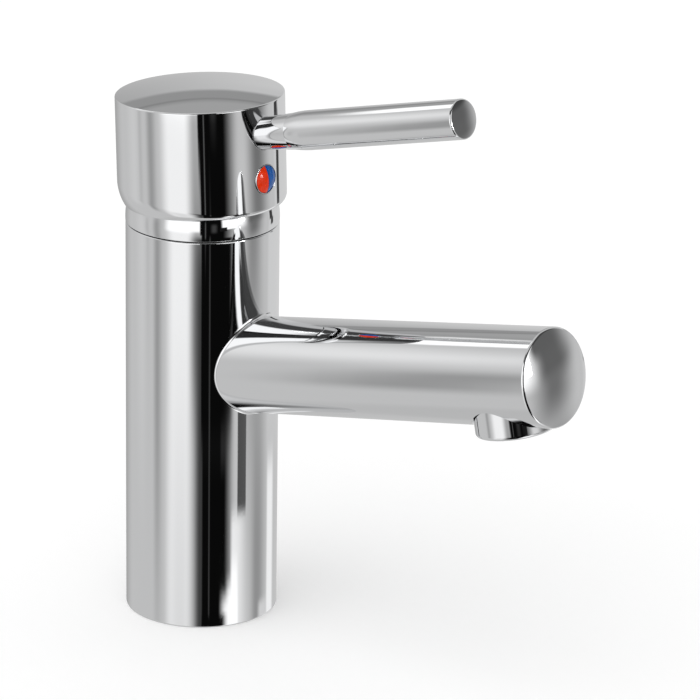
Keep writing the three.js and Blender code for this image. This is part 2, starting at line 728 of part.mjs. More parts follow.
// ---- Head, drawn upright --------------------------------------------------------------------

function stem() {
  const half = STEM_W / 2;
  const ballZ = PIVOT_Z - STEM_ARM;
  const ball = new THREE.SphereGeometry(STEM_BALL_R, SMALL, SMALL / 2).translate(0, 0, ballZ);
  const squareBottom = PIVOT_Z - STEM_SQUARE_UNDER_PIVOT;
  return cut(
    join(
      block([-half, half], [-half, half], [squareBottom, PIVOT_Z + STEM_TOP_OVER_PIVOT]),
      rod(STEM_ROD_R, ballZ, squareBottom + PAST, SMALL),
      solid(ball),
    ),
    acrossPivot(PIN_R + SNUG, STEM_W),
  );
}

function pivotPin() {
  return acrossPivot(PIN_R, ROTOR_NECK_R - GAP);
}

// The skirt's rounding grows from the lever's side to the back.
function skirtRounding(x, y) {
  const rear = (1 + y / Math.hypot(x, y)) / 2;
  return [0, 1].map((i) => THREE.MathUtils.lerp(SKIRT_ROUND_FRONT[i], SKIRT_ROUND_REAR[i], rear));
}

function headOutside() {
  const rimStart = HEAD_RIM - HEAD_TOP_ROUND_H;
  const flatR = HEAD_R - HEAD_TOP_ROUND_W;
  const crownR = (flatR ** 2 + HEAD_CROWN ** 2) / (2 * HEAD_CROWN);
  const crownAngle = Math.asin(flatR / crownR);
  const skirt = Array.from({ length: RIM_STEPS + 1 }, (_, i) => [HEAD_R, HEAD_BOTTOM + i / RIM_STEPS]);
  const rim = arc(0, 0, 1, 0, Math.PI / 2, RIM_STEPS).map(([across, up]) =>
    [flatR + HEAD_TOP_ROUND_W * across, rimStart + HEAD_TOP_ROUND_H * up]);
  const crownBottom = Math.PI / 2 - crownAngle;
  const crown = arc(0, HEAD_RIM + HEAD_CROWN - crownR, crownR, crownBottom, Math.PI / 2, RIM_STEPS);
  crown[RIM_STEPS] = [0, HEAD_RIM + HEAD_CROWN];
  const geometry = turnedGeometry([[0, HEAD_BOTTOM], ...skirt, ...rim, ...crown.slice(1)], ROUND);
  const position = geometry.attributes.position;
  const perMeridian = 1 + skirt.length + rim.length + RIM_STEPS;
  for (let i = 0; i < position.count; i += 1) {
    const row = (i % perMeridian) - 1;
    if (row < 0 || row > RIM_STEPS) continue;
    const [x, y] = [position.getX(i), position.getY(i)];
    const [inset, height] = skirtRounding(x, y);
    const radius = (height ** 2 + inset ** 2) / (2 * inset);
    const angle = Math.asin(height / radius) * (1 - row / RIM_STEPS);
    const scale = (HEAD_R - radius * (1 - Math.cos(angle))) / HEAD_R;
    position.setXYZ(i, x * scale, y * scale, HEAD_BOTTOM + height - radius * Math.sin(angle));
  }
  return solid(geometry);
}

function headShell() {
  const roof = HEAD_RIM - HEAD_ROOF;
  const cavity = rod(SKIRT_BORE_R, HEAD_BOTTOM - PAST, roof, ROUND);
  const bridge = block(
    [-BRIDGE_HALF_W, BRIDGE_HALF_W],
    [-SKIRT_BORE_R, BRIDGE_BACK],
    [PIVOT_Z + BRIDGE_UNDER, roof],
  );
  const socketHalf = STEM_W / 2 + GAP;
  const socket = block(
    [-socketHalf, socketHalf],
    [-socketHalf, socketHalf],
    [PIVOT_Z + BRIDGE_UNDER - PAST, PIVOT_Z + STEM_TOP_OVER_PIVOT + GAP],
  );
  const leverHole = turned([
    [0, LEVER_ROOT - LEVER_TAIL_LENGTH - GAP],
    [LEVER_TAIL_R + GAP, LEVER_ROOT - LEVER_TAIL_LENGTH - GAP],
    [LEVER_TAIL_R + GAP, LEVER_ROOT - GAP],
    [LEVER_NECK_R + GAP, LEVER_ROOT - GAP],
    [LEVER_NECK_R + GAP, LEVER_NECK_END],
    [0, LEVER_NECK_END],
  ], SMALL, alongFront(LEVER_Z, LEVER_PITCH));
  const screwHole = rod(SCREW_R + GAP, 0, HEAD_R, SMALL, alongFront(SCREW_Z));
  const indexHole = rod(INDEX_HOLE_R, HEAD_R - INDEX_DEPTH, HEAD_R + PAST, SMALL, alongFront(SCREW_Z));
  return cut(join(cut(headOutside(), cavity), bridge), socket, leverHole, screwHole, indexHole);
}

function leverBar() {
  const shoulder = arc(0, 0, 1, Math.PI, Math.PI / 2, EDGE_STEPS).map(([along, out]) => [
    LEVER_NECK_R + (LEVER_R - LEVER_NECK_R) * out,
    LEVER_NECK_END + LEVER_SHOULDER * (1 + along),
  ]);
  const endStart = LEVER_END - LEVER_END_ROUND;
  const end = arc(LEVER_R - LEVER_END_ROUND, endStart, LEVER_END_ROUND, 0, Math.PI / 2, EDGE_STEPS - 1);
  return turned([
    [0, LEVER_ROOT - LEVER_TAIL_LENGTH],
    [LEVER_TAIL_R, LEVER_ROOT - LEVER_TAIL_LENGTH],
    [LEVER_TAIL_R, LEVER_ROOT],
    [LEVER_NECK_R, LEVER_ROOT],
    ...shoulder,
    ...end,
    [0, LEVER_END],
  ], BAR);
}

function setScrew() {
  const end = SCREW_Y + SCREW_LENGTH;
  return cut(
    rod(SCREW_R, SCREW_Y, end, SMALL),
    rod(SCREW_HEX / Math.sqrt(3), end - SCREW_HEX_DEPTH, end + PAST, HEXAGON),
  );
}

const INDEX_FACE = HEAD_R + INDEX_PROUD;
const INDEX_FLOOR = HEAD_R - INDEX_DEPTH + GAP + INDEX_BACK;
const INDEX_COLOUR_R = INDEX_R - INDEX_RIM - SNUG;

function indexCup() {
  const back = HEAD_R - INDEX_DEPTH + GAP;
  return turned([
    [0, back],
    [INDEX_R, back],
    [INDEX_R, INDEX_FACE],
    [INDEX_R - INDEX_RIM, INDEX_FACE],
    [INDEX_R - INDEX_RIM, INDEX_FLOOR],
    [0, INDEX_FLOOR],
  ], SMALL);
}

function indexHalf(side) {
  const domeR = (INDEX_COLOUR_R ** 2 + INDEX_DOME ** 2) / (2 * INDEX_DOME);
  const domeAngle = Math.asin(INDEX_COLOUR_R / domeR);
  const domeBottom = Math.PI / 2 - domeAngle;
  const dome = arc(0, INDEX_FACE + INDEX_DOME - domeR, domeR, domeBottom, Math.PI / 2, EDGE_STEPS);
  dome[EDGE_STEPS] = [0, INDEX_FACE + INDEX_DOME];
  const floor = INDEX_FLOOR + SNUG;
  const whole = turned([[0, floor], [INDEX_COLOUR_R, floor], ...dome], SMALL);
  const inner = SNUG / 2;
  const reach = side > 0 ? [inner, INDEX_R] : [-INDEX_R, -inner];
  const depth = [floor - PAST, INDEX_FACE + INDEX_DOME + PAST];
  return whole.intersect(block(reach, [-INDEX_R, INDEX_R], depth));
}

// ---- Assembly -----------------------------------------------------------------------------

// Puts children drawn along +Z on an axis that runs to -Y from the Z axis.
function frontGroup(height, rise, ...children) {
  const assembly = group(...children);
  assembly.position.z = height;
  assembly.rotation.x = Math.PI / 2 - rise;
  return assembly;
}

const aerator = group(
  piece('aerator_housing', aeratorHousing(), chrome),
  piece('aerator_washer', aeratorWasher(), rubber),
  piece('aerator_screen', aeratorScreen(), steel),
  piece('aerator_insert', aeratorInsert(), greyPlastic),
);
aerator.position.z = AERATOR_AT;
aerator.rotation.x = Math.PI / 2;

const fixedPieces = group(
  piece('body_casting', bodyCasting(), chrome),
  piece('base_gasket', baseGasket(), rubber),
  piece('collar_ring', collarRing(), chrome),
  piece('collar_seal', collarSeal(), rubber),
  piece('retaining_nut', retainingNut(), brass),
  piece('cartridge_housing', cartridgeHousing(), whitePlastic),
  piece('cartridge_base', cartridgeBase(), whitePlastic),
  piece('inlet_seal_hot', portSeal(portPlaces()[0]), rubber),
  piece('inlet_seal_cold', portSeal(portPlaces()[1]), rubber),
  piece('outlet_seal', portSeal(portPlaces()[2]), rubber),
  piece('fixed_disc', fixedDisc(), ceramic),
  piece('limit_ring', limitRing(), redPlastic),
  frontGroup(SPOUT_Z, SPOUT_RISE, aerator),
);

const rotorPieces = group(
  piece('cartridge_rotor', rotor(), greyPlastic),
  piece('rotor_seal', rotorSeal(), rubber),
  piece('pivot_pin', pivotPin(), steel),
);

const discPieces = group(
  piece('moving_disc', movingDisc(), ceramic),
  piece('disc_carrier', discCarrier(), whitePlastic),
);
discPieces.position.y = CARRIER_FORWARD - REST_SLIDE;

const uprightHead = group(
  piece('head_shell', headShell(), chrome),
  piece('stem', stem(), brass),
  frontGroup(LEVER_Z, LEVER_PITCH, piece('lever_bar', leverBar(), chrome)),
  frontGroup(
    SCREW_Z,
    0,
    piece('set_screw', setScrew(), steel),
    piece('index_cup', indexCup(), chrome),
    piece('index_red', indexHalf(-1), redPlastic),
    piece('index_blue', indexHalf(1), bluePlastic),
  ),
);
uprightHead.position.z = -PIVOT_Z;

const head = group(uprightHead);
head.position.z = PIVOT_Z;
head.rotation.x = -LIFT_REST;

const faucet = group(fixedPieces, rotorPieces, discPieces, head);
faucet.name = 'basin_mixer';

export default faucet;
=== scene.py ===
"""Polished pieces, finishes and studio of a single-lever basin mixer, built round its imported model."""

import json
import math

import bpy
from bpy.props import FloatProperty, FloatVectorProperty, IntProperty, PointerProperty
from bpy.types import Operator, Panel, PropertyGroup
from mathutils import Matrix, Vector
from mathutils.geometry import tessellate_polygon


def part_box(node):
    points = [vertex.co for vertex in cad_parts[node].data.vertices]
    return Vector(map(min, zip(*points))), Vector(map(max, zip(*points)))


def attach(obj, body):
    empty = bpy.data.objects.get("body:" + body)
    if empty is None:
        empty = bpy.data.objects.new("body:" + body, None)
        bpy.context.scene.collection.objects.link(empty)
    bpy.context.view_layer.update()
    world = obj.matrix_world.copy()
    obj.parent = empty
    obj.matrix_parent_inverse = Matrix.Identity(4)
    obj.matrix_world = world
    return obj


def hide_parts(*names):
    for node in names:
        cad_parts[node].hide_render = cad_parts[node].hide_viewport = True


bl_info = {
    "name": "Basin Mixer Finish",
    "version": (1, 0, 0),
    "blender": (4, 5, 0),
    "location": "View3D > Sidebar > Mixer",
    "description": "Polished pieces, finishes and studio of a single-lever basin mixer",
    "category": "Object",
}

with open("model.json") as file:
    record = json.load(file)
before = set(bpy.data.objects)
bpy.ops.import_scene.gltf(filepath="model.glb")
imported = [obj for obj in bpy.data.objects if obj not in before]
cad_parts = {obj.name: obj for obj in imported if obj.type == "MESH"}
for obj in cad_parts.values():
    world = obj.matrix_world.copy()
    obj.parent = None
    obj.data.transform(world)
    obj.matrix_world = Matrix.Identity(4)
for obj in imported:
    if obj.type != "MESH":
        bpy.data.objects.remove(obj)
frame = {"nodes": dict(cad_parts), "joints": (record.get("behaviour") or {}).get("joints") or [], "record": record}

# ---- What the frame says ----

JOINTS = {joint["name"]: joint for joint in frame["joints"]}
MOUNTS = {mount["name"]: mount for mount in frame["record"]["mounts"]}

BODY_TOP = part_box("body_casting")[1]
PIVOT = Vector(JOINTS["lever_lift"]["pos_m"])
LEAN_AT_REST = -math.radians(JOINTS["lever_lift"]["range_deg"][0])
OUTLET_AXIS = Vector(MOUNTS["outlet_face"]["axis"])
SPOUT_RISE = math.atan2(-OUTLET_AXIS.y, -OUTLET_AXIS.z)

FRONT = 1.5 * math.pi    # the spout's and the lever's side, as an angle about the upright axis
FULL_TURN = 2 * math.pi
QUARTER = math.pi / 2


# ---- Sizes and colours that a user would change ----

def kind(make, **limits):
    """A maker of one kind of property, which takes its name, its description and its default."""
    return lambda name, description, default: make(
        name=name, description=description, default=default, **limits)


length = kind(FloatProperty, min=0, unit="LENGTH", subtype="DISTANCE", precision=5)
radians = kind(FloatProperty, unit="ROTATION", subtype="ANGLE")
factor = kind(FloatProperty, min=0, max=1, subtype="FACTOR")
number = kind(FloatProperty, min=0)
steps = kind(IntProperty, min=4)
colour = kind(FloatVectorProperty, min=0, max=1, size=3, subtype="COLOR")


def angle(name, description, degrees):
    return radians(name, description, math.radians(degrees))


class BodySizes(PropertyGroup):
    radius: length("Radius", "Outside of the body", BODY_TOP.x)
    height: length("Height", "Deck to the joint under the collar", BODY_TOP.z)
    base_round: length("Base rounding", "Radius of the lower edge", 0.0006)
    top_round: length("Top rounding", "Radius of the upper edge", 0.0004)
    bore_radius: length("Bore", "Thread bore for the retaining nut", 0.0191)
    seat_radius: length("Cartridge bore", "Bore round the cartridge", 0.0178)
    thread_depth: length("Thread depth", "Depth of the nut's thread bore", 0.004)
    seat_depth: length("Seat depth", "Depth of the cartridge's seat", 0.0292)
    groove_inner: length("Groove inside", "Inner radius of the gasket's groove", 0.0197)
    groove_outer: length("Groove outside", "Outer radius of the gasket's groove", 0.0217)
    groove_depth: length("Groove depth", "Depth of the gasket's groove", 0.0016)
    inlet_radius: length("Inlet socket", "Thread radius of the supply sockets", 0.0049)
    inlet_depth: length("Inlet depth", "Depth of the supply sockets", 0.016)
    inlet_across: length("Inlet offset", "Supply sockets from the middle, sideways", 0.0072)
    inlet_back: length("Inlet set-back", "Supply sockets from the middle, backwards", 0.004)
    stud_radius: length("Stud socket", "Thread radius of the mounting stud's socket", 0.0034)
    stud_depth: length("Stud depth", "Depth of the mounting stud's socket", 0.02)
    stud_forward: length("Stud offset", "Stud socket from the middle, forwards", 0.009)
    thread_pitch: length("Thread pitch", "Pitch of the socket threads", 0.001)
    socket_chamfer: length("Socket chamfer", "Chamfer at the mouth of each socket", 0.0005)
    columns: steps("Columns", "Faces across the window round the spout's root", 32)


class SpoutSizes(PropertyGroup):
    radius: length("Radius", "Outside of the spout", 0.0145)
    height: length("Axis height", "Where the spout's axis meets the body's axis", 0.0773)
    length: length("Length", "From the body's axis to the end's edge, along the spout", 0.1353)
    end_round: length("End rounding", "Radius of the edge round the end", 0.0009)
    end_crown: length("End crown", "Bulge of the end face", 0.0021)
    root_fillet: length("Root fillet", "Radius where the spout meets the body", 0.001)
    outlet_at: length("Outlet place", "From the body's axis to the aerator's axis", 0.1182)
    hole_radius: length("Outlet hole", "Radius of the hole for the aerator", 0.012)
    hole_edge: length("Hole edge", "Rounding at the mouth of the hole", 0.0004)
    hole_seat: length("Hole seat", "From the spout's axis to the washer's seat", 0.0063)
    passage_radius: length("Passage", "Waterway above the washer", 0.009)


class AeratorSizes(PropertyGroup):
    radius: length("Radius", "Outside of the housing", 0.0115)
    back: length("Back", "From the spout's axis to the back of the housing", 0.0078)
    face: length("Face", "From the spout's axis to the outlet face", 0.0165)
    edge_round: length("Edge rounding", "Radius of the outer edge", 0.0012)
    bore_radius: length("Bore", "Bore round the insert", 0.0099)
    lip_radius: length("Lip", "Inner radius of the lip", 0.0088)
    lip_height: length("Lip height", "Height of the lip", 0.0015)
    insert_radius: length("Insert radius", "Outside of the jet former", 0.0096)
    insert_back: length("Insert back", "From the spout's axis to the insert's back", 0.009)
    insert_face: length("Insert face", "From the spout's axis to the insert's face", 0.0147)
    jet_radius: length("Jet radius", "Radius of each jet hole", 0.0009)
    inner_ring: length("Inner ring", "Radius of the ring of 6 jets", 0.003)
    outer_ring: length("Outer ring", "Radius of the ring of 12 jets", 0.0066)


class CollarSizes(PropertyGroup):
    radius: length("Radius", "Greatest outside, where the wall stands upright", 0.02305)
    drop: length("Drop", "Height of the greatest outside below the lever's pivot", 0.002)
    top: length("Top", "Height of the collar's top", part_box("collar_ring")[1].z)
    bore_radius: length("Bore", "Bore round the retaining nut", 0.0193)
    edge_round: length("Edge rounding", "Radius of both outer edges", 0.00025)
    gap: length("Joint gap", "Dark joint between the body and the collar", 0.0003)
    gasket_radius: length("Gasket", "Middle radius of the base gasket", 0.0207)
    gasket_width: length("Gasket width", "Width of the base gasket", 0.0016)
    gasket_height: length("Gasket height", "Height of the base gasket", 0.0016)


class HeadSizes(PropertyGroup):
    radius: length("Radius", "Outside of the head", 0.02522)
    bottom: length("Bottom", "Height of the skirt's edge", 0.1286)
    crown: length("Crown", "Height of the top, in the middle", 0.1643)
    slant: angle("Top slant", "How far the top rises towards the lever", 0.8)
    rim: length("Rim", "Height of the edge round the top", 0.1615)
    edge_round: length("Edge rounding", "Radius of the edge round the top", 0.0005)
    taper: length("Taper", "How far the wall draws in below the top's edge", 0.00001)
    taper_height: length("Taper height", "Height over which the wall draws in", 0.003)
    front_inset: length("Front inset", "Skirt rounding under the lever, inwards", 0.0015)
    front_height: length("Front height", "Skirt rounding under the lever, upwards", 0.0015)
    rear_inset: length("Rear inset", "Skirt rounding at the back, inwards", 0.0019)
    rear_height: length("Rear height", "Skirt rounding at the back, upwards", 0.0081)
    bore_radius: length("Bore", "Bore of the skirt", 0.0233)
    roof: length("Roof", "Height of the cavity's roof", 0.15855)
    bridge_half: length("Bridge half width", "Half width of the bridge that holds the stem", 0.008)
    bridge_bottom: length("Bridge bottom", "Height of the bridge's underside", 0.1343)
    bridge_back: length("Bridge back", "From the middle to the bridge's back", 0.0085)
    hole_edge: length("Hole edge", "Rounding at the mouth of the lever's hole", 0.0002)
    columns: steps("Columns", "Faces across the window under the lever", 28)


class LeverSizes(PropertyGroup):
    height: length("Axis height", "Where the lever's axis meets the head's axis", 0.1475)
    pitch: angle("Pitch", "Slope of the lever", 12.4)
    radius: length("Radius", "Outside of the bar", 0.00585)
    neck_radius: length("Neck radius", "Outside of the neck", 0.0047)
    neck_gap: length("Neck gap", "Gap between the neck and its hole", 0.00012)
    root: length("Root", "Where the neck starts, along the lever", 0.024704)
    neck_wide: length("Neck, wide end", "Outside of the neck where it meets the bar", 0.0054)
    neck_end: length("Neck end", "Where the neck ends, along the lever", 0.0378)
    shoulder: length("Shoulder", "Length of the rounding between neck and bar", 0.0064)
    end: length("End", "Where the bar ends, along the lever", 0.1018)
    end_round: length("End rounding", "Radius of the edge round the end", 0.0006)
    end_crown: length("End crown", "Bulge of the end face", 0.00042)
    tail_radius: length("Tail radius", "Threaded tail in the bridge", 0.003)
    tail_length: length("Tail length", "Length of the threaded tail", 0.015)


class IndexSizes(PropertyGroup):
    height: length("Height", "Height of the button's axis", 0.1391)
    radius: length("Radius", "Outside of the button's cup", 0.0044)
    rim: length("Rim", "Width of the cup's rim", 0.00018)
    proud: length("Proud", "Rim in front of the head's wall", 0.0001)
    dome: length("Dome", "Bulge of the coloured halves", 0.001)
    depth: length("Depth", "Depth of the button's pocket", 0.005)
    pocket_gap: length("Pocket gap", "Gap between the cup and its pocket", 0.0001)
    split: length("Split", "Gap between the coloured halves", 0.00016)
    roll: angle("Roll", "How far the split leans to the left", 5.5)
    floor: length("Floor", "Thickness of the cup's floor", 0.0016)


class Finishes(PropertyGroup):
    chrome: colour("Chrome", "Polished chrome plate", (0.88, 0.885, 0.893))
    chrome_roughness: factor("Chrome roughness", "Roughness of the clean plate", 0.03)
    ripple: length("Ripple height", "Height of the polish's slow ripple", 0.000018)
    brass: colour("Brass", "Turned brass", (0.72, 0.52, 0.25))
    steel: colour("Steel", "Ground steel", (0.60, 0.61, 0.62))
    rubber: colour("Rubber", "Sealing rubber", (0.018, 0.018, 0.019))
    white_plastic: colour("White plastic", "Cartridge housing and carrier", (0.78, 0.78, 0.74))
    grey_plastic: colour("Grey plastic", "Cartridge rotor and jet former", (0.25, 0.27, 0.29))
    red_plastic: colour("Red plastic", "Hot half of the button, limit ring", (0.97, 0.045, 0.004))
    blue_plastic: colour("Blue plastic", "Cold half of the button", (0.003, 0.107, 0.43))
    ceramic: colour("Ceramic", "Lapped ceramic discs", (0.86, 0.85, 0.81))


class StudioSettings(PropertyGroup):
    floor_size: length("Floor", "Side of the floor", 12.0)
    floor_colour: colour("Floor colour", "Pale floor", (0.885, 0.885, 0.885))
    fill: number("Fill", "Light from all round", 0.78)
    floor_glow: number("Floor glow", "Light that lifts the floor to white in the picture", 0.065)
    key: number("Key", "Strength of the soft key light", 0.72)
    key_softness: angle("Key softness", "How wide the key light looks", 60)
    tent_radius: length("Tent radius", "Radius of the reflected tent", 0.5)
    tent_height: length("Tent height", "Height of the tent's middle", 0.1)
    azimuth: angle("Azimuth", "Camera's direction round the mixer", -50.65)
    elevation: angle("Elevation", "Camera's direction above the deck", 19.334)
    roll: angle("Roll", "Camera's roll", 0.843)
    distance: length("Distance", "Camera from its aim", 1.4155)
    aim: FloatVectorProperty(name="Aim", description="Point in the middle of the view", size=3,
                             default=(0.0580, -0.0100, 0.0682), unit="LENGTH")
    lens: FloatProperty(name="Lens", description="Focal length in millimetres", default=234.8)


SETTINGS = {
    "mixer_body": BodySizes,
    "mixer_spout": SpoutSizes,
    "mixer_aerator": AeratorSizes,
    "mixer_collar": CollarSizes,
    "mixer_head": HeadSizes,
    "mixer_lever": LeverSizes,
    "mixer_index": IndexSizes,
    "mixer_finishes": Finishes,
    "mixer_studio": StudioSettings,
}


# ---- Skins: faces whose corners keep exact normals ----

def polar(radius, a, height=0.0):
    """A point by its distance from the Z axis, its angle round it and its height."""
    return Vector((radius * math.cos(a), radius * math.sin(a), height))


def even(start, end, count):
    """Values in equal steps, with both ends."""
    return [start + (end - start) * i / count for i in range(count + 1)]


def round_angles(count=128):
    return [FULL_TURN * i / count for i in range(count)]


def points_of(row):
    """The points of a row of (point, normal) pairs."""
    return [point for point, _ in row]


def linked(name, data):
    """A new object that is part of the scene."""
    thing = bpy.data.objects.new(name, data)
    bpy.context.scene.collection.objects.link(thing)
    return thing


class Skin:
    """The faces of one piece. Corners that coincide are welded, and each keeps its own normal."""

    WELD = 1e-6
    SHIFT = 0.137    # keeps round sizes away from the borders between two cells

    def __init__(self):
        self.points = []
        self.faces = []
        self.normals = []
        self.cells = {}

    def corner(self, point):
        cell = tuple(math.floor(value / self.WELD + self.SHIFT) for value in point)
        if cell not in self.cells:
            self.cells[cell] = len(self.points)
            self.points.append(point)
        return self.cells[cell]

    def face(self, corners):
        ring = []
        for point, normal in corners:
            index = self.corner(point)
            if all(index != other for other, _ in ring):
                ring.append((index, normal))
        if len(ring) < 3:
            return
        first, second, third, last = (self.points[ring[i][0]] for i in (0, 1, 2, -1))
        facing = (third - first).cross(last - second if len(ring) > 3 else third - second)
        outward = sum((normal for _, normal in ring), Vector((0, 0, 0)))
        if facing.dot(outward) < 0:
            ring.reverse()
        self.faces.append([index for index, _ in ring])
        self.normals.extend(normal for _, normal in ring)

    def strip(self, rows, closed=True):
        """Faces between rows of (point, normal) pairs."""
        for near, far in zip(rows, rows[1:]):
            for i in range(len(near) if closed else len(near) - 1):
                j = (i + 1) % len(near)
                self.face((near[i], near[j], far[j], far[i]))

    def flat(self, loops, normal):
        """A flat face with an outer loop of points and holes."""
        points = [point for loop in loops for point in loop]
        for triangle in tessellate_polygon(loops):
            self.face([(points[i], normal) for i in triangle])

    def turn(self, place, profile, angles):
        """Turns a profile about the Z axis of a place, and returns its rows."""
        spin = place.to_3x3().inverted().transposed()
        rows = [[(place @ polar(radius, a, height), (spin @ polar(out, a, up)).normalized())
                 for a in angles] for (radius, height), (out, up) in profile]
        self.strip(rows)
        return rows

    def piece(self, name, body, nodes, slot):
        """Adds the mesh as a piece that rides a body, replaces nodes and has the finish of a slot."""
        mesh = bpy.data.meshes.new(name)
        mesh.from_pydata(self.points, [], self.faces)
        mesh.polygons.foreach_set("use_smooth", [True] * len(self.faces))
        mesh.normals_split_custom_set(self.normals)
        mesh.update()
        mesh.materials.append(finish(slot))
        piece = linked(name, mesh)
        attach(piece, body)
        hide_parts(*nodes)


# Profiles are lists of ((radius, height), (normal outwards, normal upwards)). They run with the
# material on their left, so walls go up, tops go inwards and bores go down.

def line(start, end):
    along = (Vector(end) - Vector(start)).normalized()
    normal = (along.y, -along.x)
    return [(start, normal), (end, normal)]


def bend(centre, radius, start, end, count=8):
    """An arc between two angles: it bulges when it runs counter-clockwise, and is a cove otherwise."""
    side = 1 if end > start else -1
    rows = []
    for a in even(start, end, count):
        out, up = math.cos(a), math.sin(a)
        rows.append(((centre[0] + radius * out, centre[1] + radius * up), (side * out, side * up)))
    return rows


def arc_radius(run, rise):
    """Radius of an arc that starts along a line and stands off it by a rise after a run."""
    return (run ** 2 + rise ** 2) / (2 * rise)


def path(*corners):
    """Straight lines through corners, with sharp edges between them."""
    rows = []
    for start, end in zip(corners, corners[1:]):
        rows += line(start, end)
    return rows


def along_front(height, rise):
    """The place of a piece drawn along +Z that runs forwards from the upright axis, with a rise."""
    return Matrix.Translation((0, 0, height)) @ Matrix.Rotation(QUARTER - rise, 4, "X")


def head_place():
    """The upright head, leaned back to where it rests."""
    lean = Matrix.Rotation(-LEAN_AT_REST, 4, "X")
    return Matrix.Translation(PIVOT) @ lean @ Matrix.Translation(-PIVOT)


def turned_piece(name, body, node, slot, place, profile, count=128):
    """Adds a piece that is one profile, turned all the way about the Z axis of a place."""
    skin = Skin()
    skin.turn(place, profile, round_angles(count))
    skin.piece(name, body, [node], slot)


# ---- Round walls with windows ----

class Window:
    """Columns and rows of a wall that give way to a round mouth in their middle."""

    def __init__(self, columns, rows, mouth, ring_steps=6):
        self.columns = columns
        self.rows = rows
        self.mouth = mouth          # angle round the mouth -> place on the wall
        self.ring_steps = ring_steps
        self.angles = []            # filled in by the wall, one for each step round the mouth

    def holds(self, column, row):
        return (self.columns[0] <= column < self.columns[1]
                and self.rows[0] <= row < self.rows[1])

    def border(self):
        (left, right), (bottom, top) = self.columns, self.rows
        middle = (left + right) // 2
        return ([(i, top) for i in range(middle, left, -1)]
                + [(left, j) for j in range(top, bottom, -1)]
                + [(i, bottom) for i in range(left, right)]
                + [(right, j) for j in range(bottom, top)]
                + [(i, top) for i in range(right, middle, -1)])


def pierced_wall(skin, surface, across, up, scale, windows):
    """Adds a closed wall, given as surface(u, v), with its windows drawn in to their mouths."""
    turn = across + [across[0] + FULL_TURN]
    rows = [[surface(u, v) for u in turn] for v in up]
    for j in range(len(up) - 1):
        for i in range(len(across)):
            if not any(window.holds(i, j) for window in windows):
                skin.face((rows[j][i], rows[j][i + 1], rows[j + 1][i + 1], rows[j + 1][i]))
    for window in windows:
        u_middle = (turn[window.columns[0]] + turn[window.columns[1]]) / 2
        v_middle = (up[window.rows[0]] + up[window.rows[1]]) / 2
        border = [Vector((turn[i], up[j])) for i, j in window.border()]
        window.angles = [
            math.atan2((v - v_middle) * scale[1], (u - u_middle) * scale[0]) for u, v in border
        ]
        mouth = [Vector(window.mouth(a)) for a in window.angles]
        skin.strip([[surface(*near.lerp(far, share)) for near, far in zip(mouth, border)]
                    for share in even(0, 1, window.ring_steps)])


def tube_surface(place, radius):
    """A tube about the Z axis of a place, as surface(angle, height)."""
    spin = place.to_3x3()
    return lambda u, v: (place @ polar(radius, u, v), spin @ polar(1, u))


def meeting(wall, bore, height, rise, a):
    """Where a tube about a forward axis meets a tube about the upright axis.

    Gives the place round and up the upright tube, and the way along the forward axis."""
    x = bore * math.cos(a)
    y = -math.sqrt(wall ** 2 - x ** 2)
    way = (bore * math.sin(a) * math.sin(rise) - y) / math.cos(rise)
    z = height + bore * math.sin(a) * math.cos(rise) + way * math.sin(rise)
    return (FRONT + math.asin(x / wall), z), way


def rolled_edge(start, corner, end, count=5):
    """Rows that roll from one row of (point, normal) pairs to another round a row of corners."""
    rows = []
    for share in even(0, 1, count):
        row = []
        for (near, near_normal), middle, (far, far_normal) in zip(start, corner, end):
            point = near.lerp(middle, share).lerp(middle.lerp(far, share), share)
            row.append((point, near_normal.lerp(far_normal, share).normalized()))
        rows.append(row)
    return rows


# ---- Materials ----

def feed(tree, node, **inputs):
    """Links or sets the inputs of a node; a name such as in_1 means the input of that number."""
    for key, value in inputs.items():
        socket = node.inputs[int(key[3:]) if key.startswith("in_") else key.replace("_", " ")]
        if isinstance(value, bpy.types.NodeSocket):
            tree.links.new(value, socket)
        else:
            socket.default_value = value
    return node


def put(tree, kind, settings=None, **inputs):
    """A new node with its settings and its inputs."""
    node = tree.nodes.new(kind)
    for key, value in (settings or {}).items():
        setattr(node, key, value)
    return feed(tree, node, **inputs)


def new_group(name, inputs, outputs):
    """A node group with numbers and vectors as inputs; gives the group, its inputs and its end."""
    group = bpy.data.node_groups.new(name, "ShaderNodeTree")
    for socket_name, default in inputs.items():
        kind = "NodeSocketVector" if isinstance(default, tuple) else "NodeSocketFloat"
        socket = group.interface.new_socket(socket_name, in_out="INPUT", socket_type=kind)
        socket.default_value = default
    for socket_name in outputs:
        group.interface.new_socket(socket_name, in_out="OUTPUT", socket_type="NodeSocketFloat")
    return group, group.nodes.new("NodeGroupInput").outputs, group.nodes.new("NodeGroupOutput")


def maths(tree, operation, *values):
    inputs = {f"in_{i}": value for i, value in enumerate(values)}
    return put(tree, "ShaderNodeMath", {"operation": operation}, **inputs).outputs[0]


def object_place(tree):
    return put(tree, "ShaderNodeTexCoord").outputs["Object"]


def noise(tree, vector, scale, detail=2.0, roughness=0.5):
    return put(tree, "ShaderNodeTexNoise", Vector=vector, Scale=scale, Detail=detail,
               Roughness=roughness).outputs["Fac"]


def stretched(tree, vector, scale):
    return put(tree, "ShaderNodeMapping", Vector=vector, Scale=scale).outputs["Vector"]


def spread(tree, value, low, high, to_low=0.0, to_high=1.0):
    return put(tree, "ShaderNodeMapRange", Value=value, From_Min=low, From_Max=high,
               To_Min=to_low, To_Max=to_high).outputs[0]


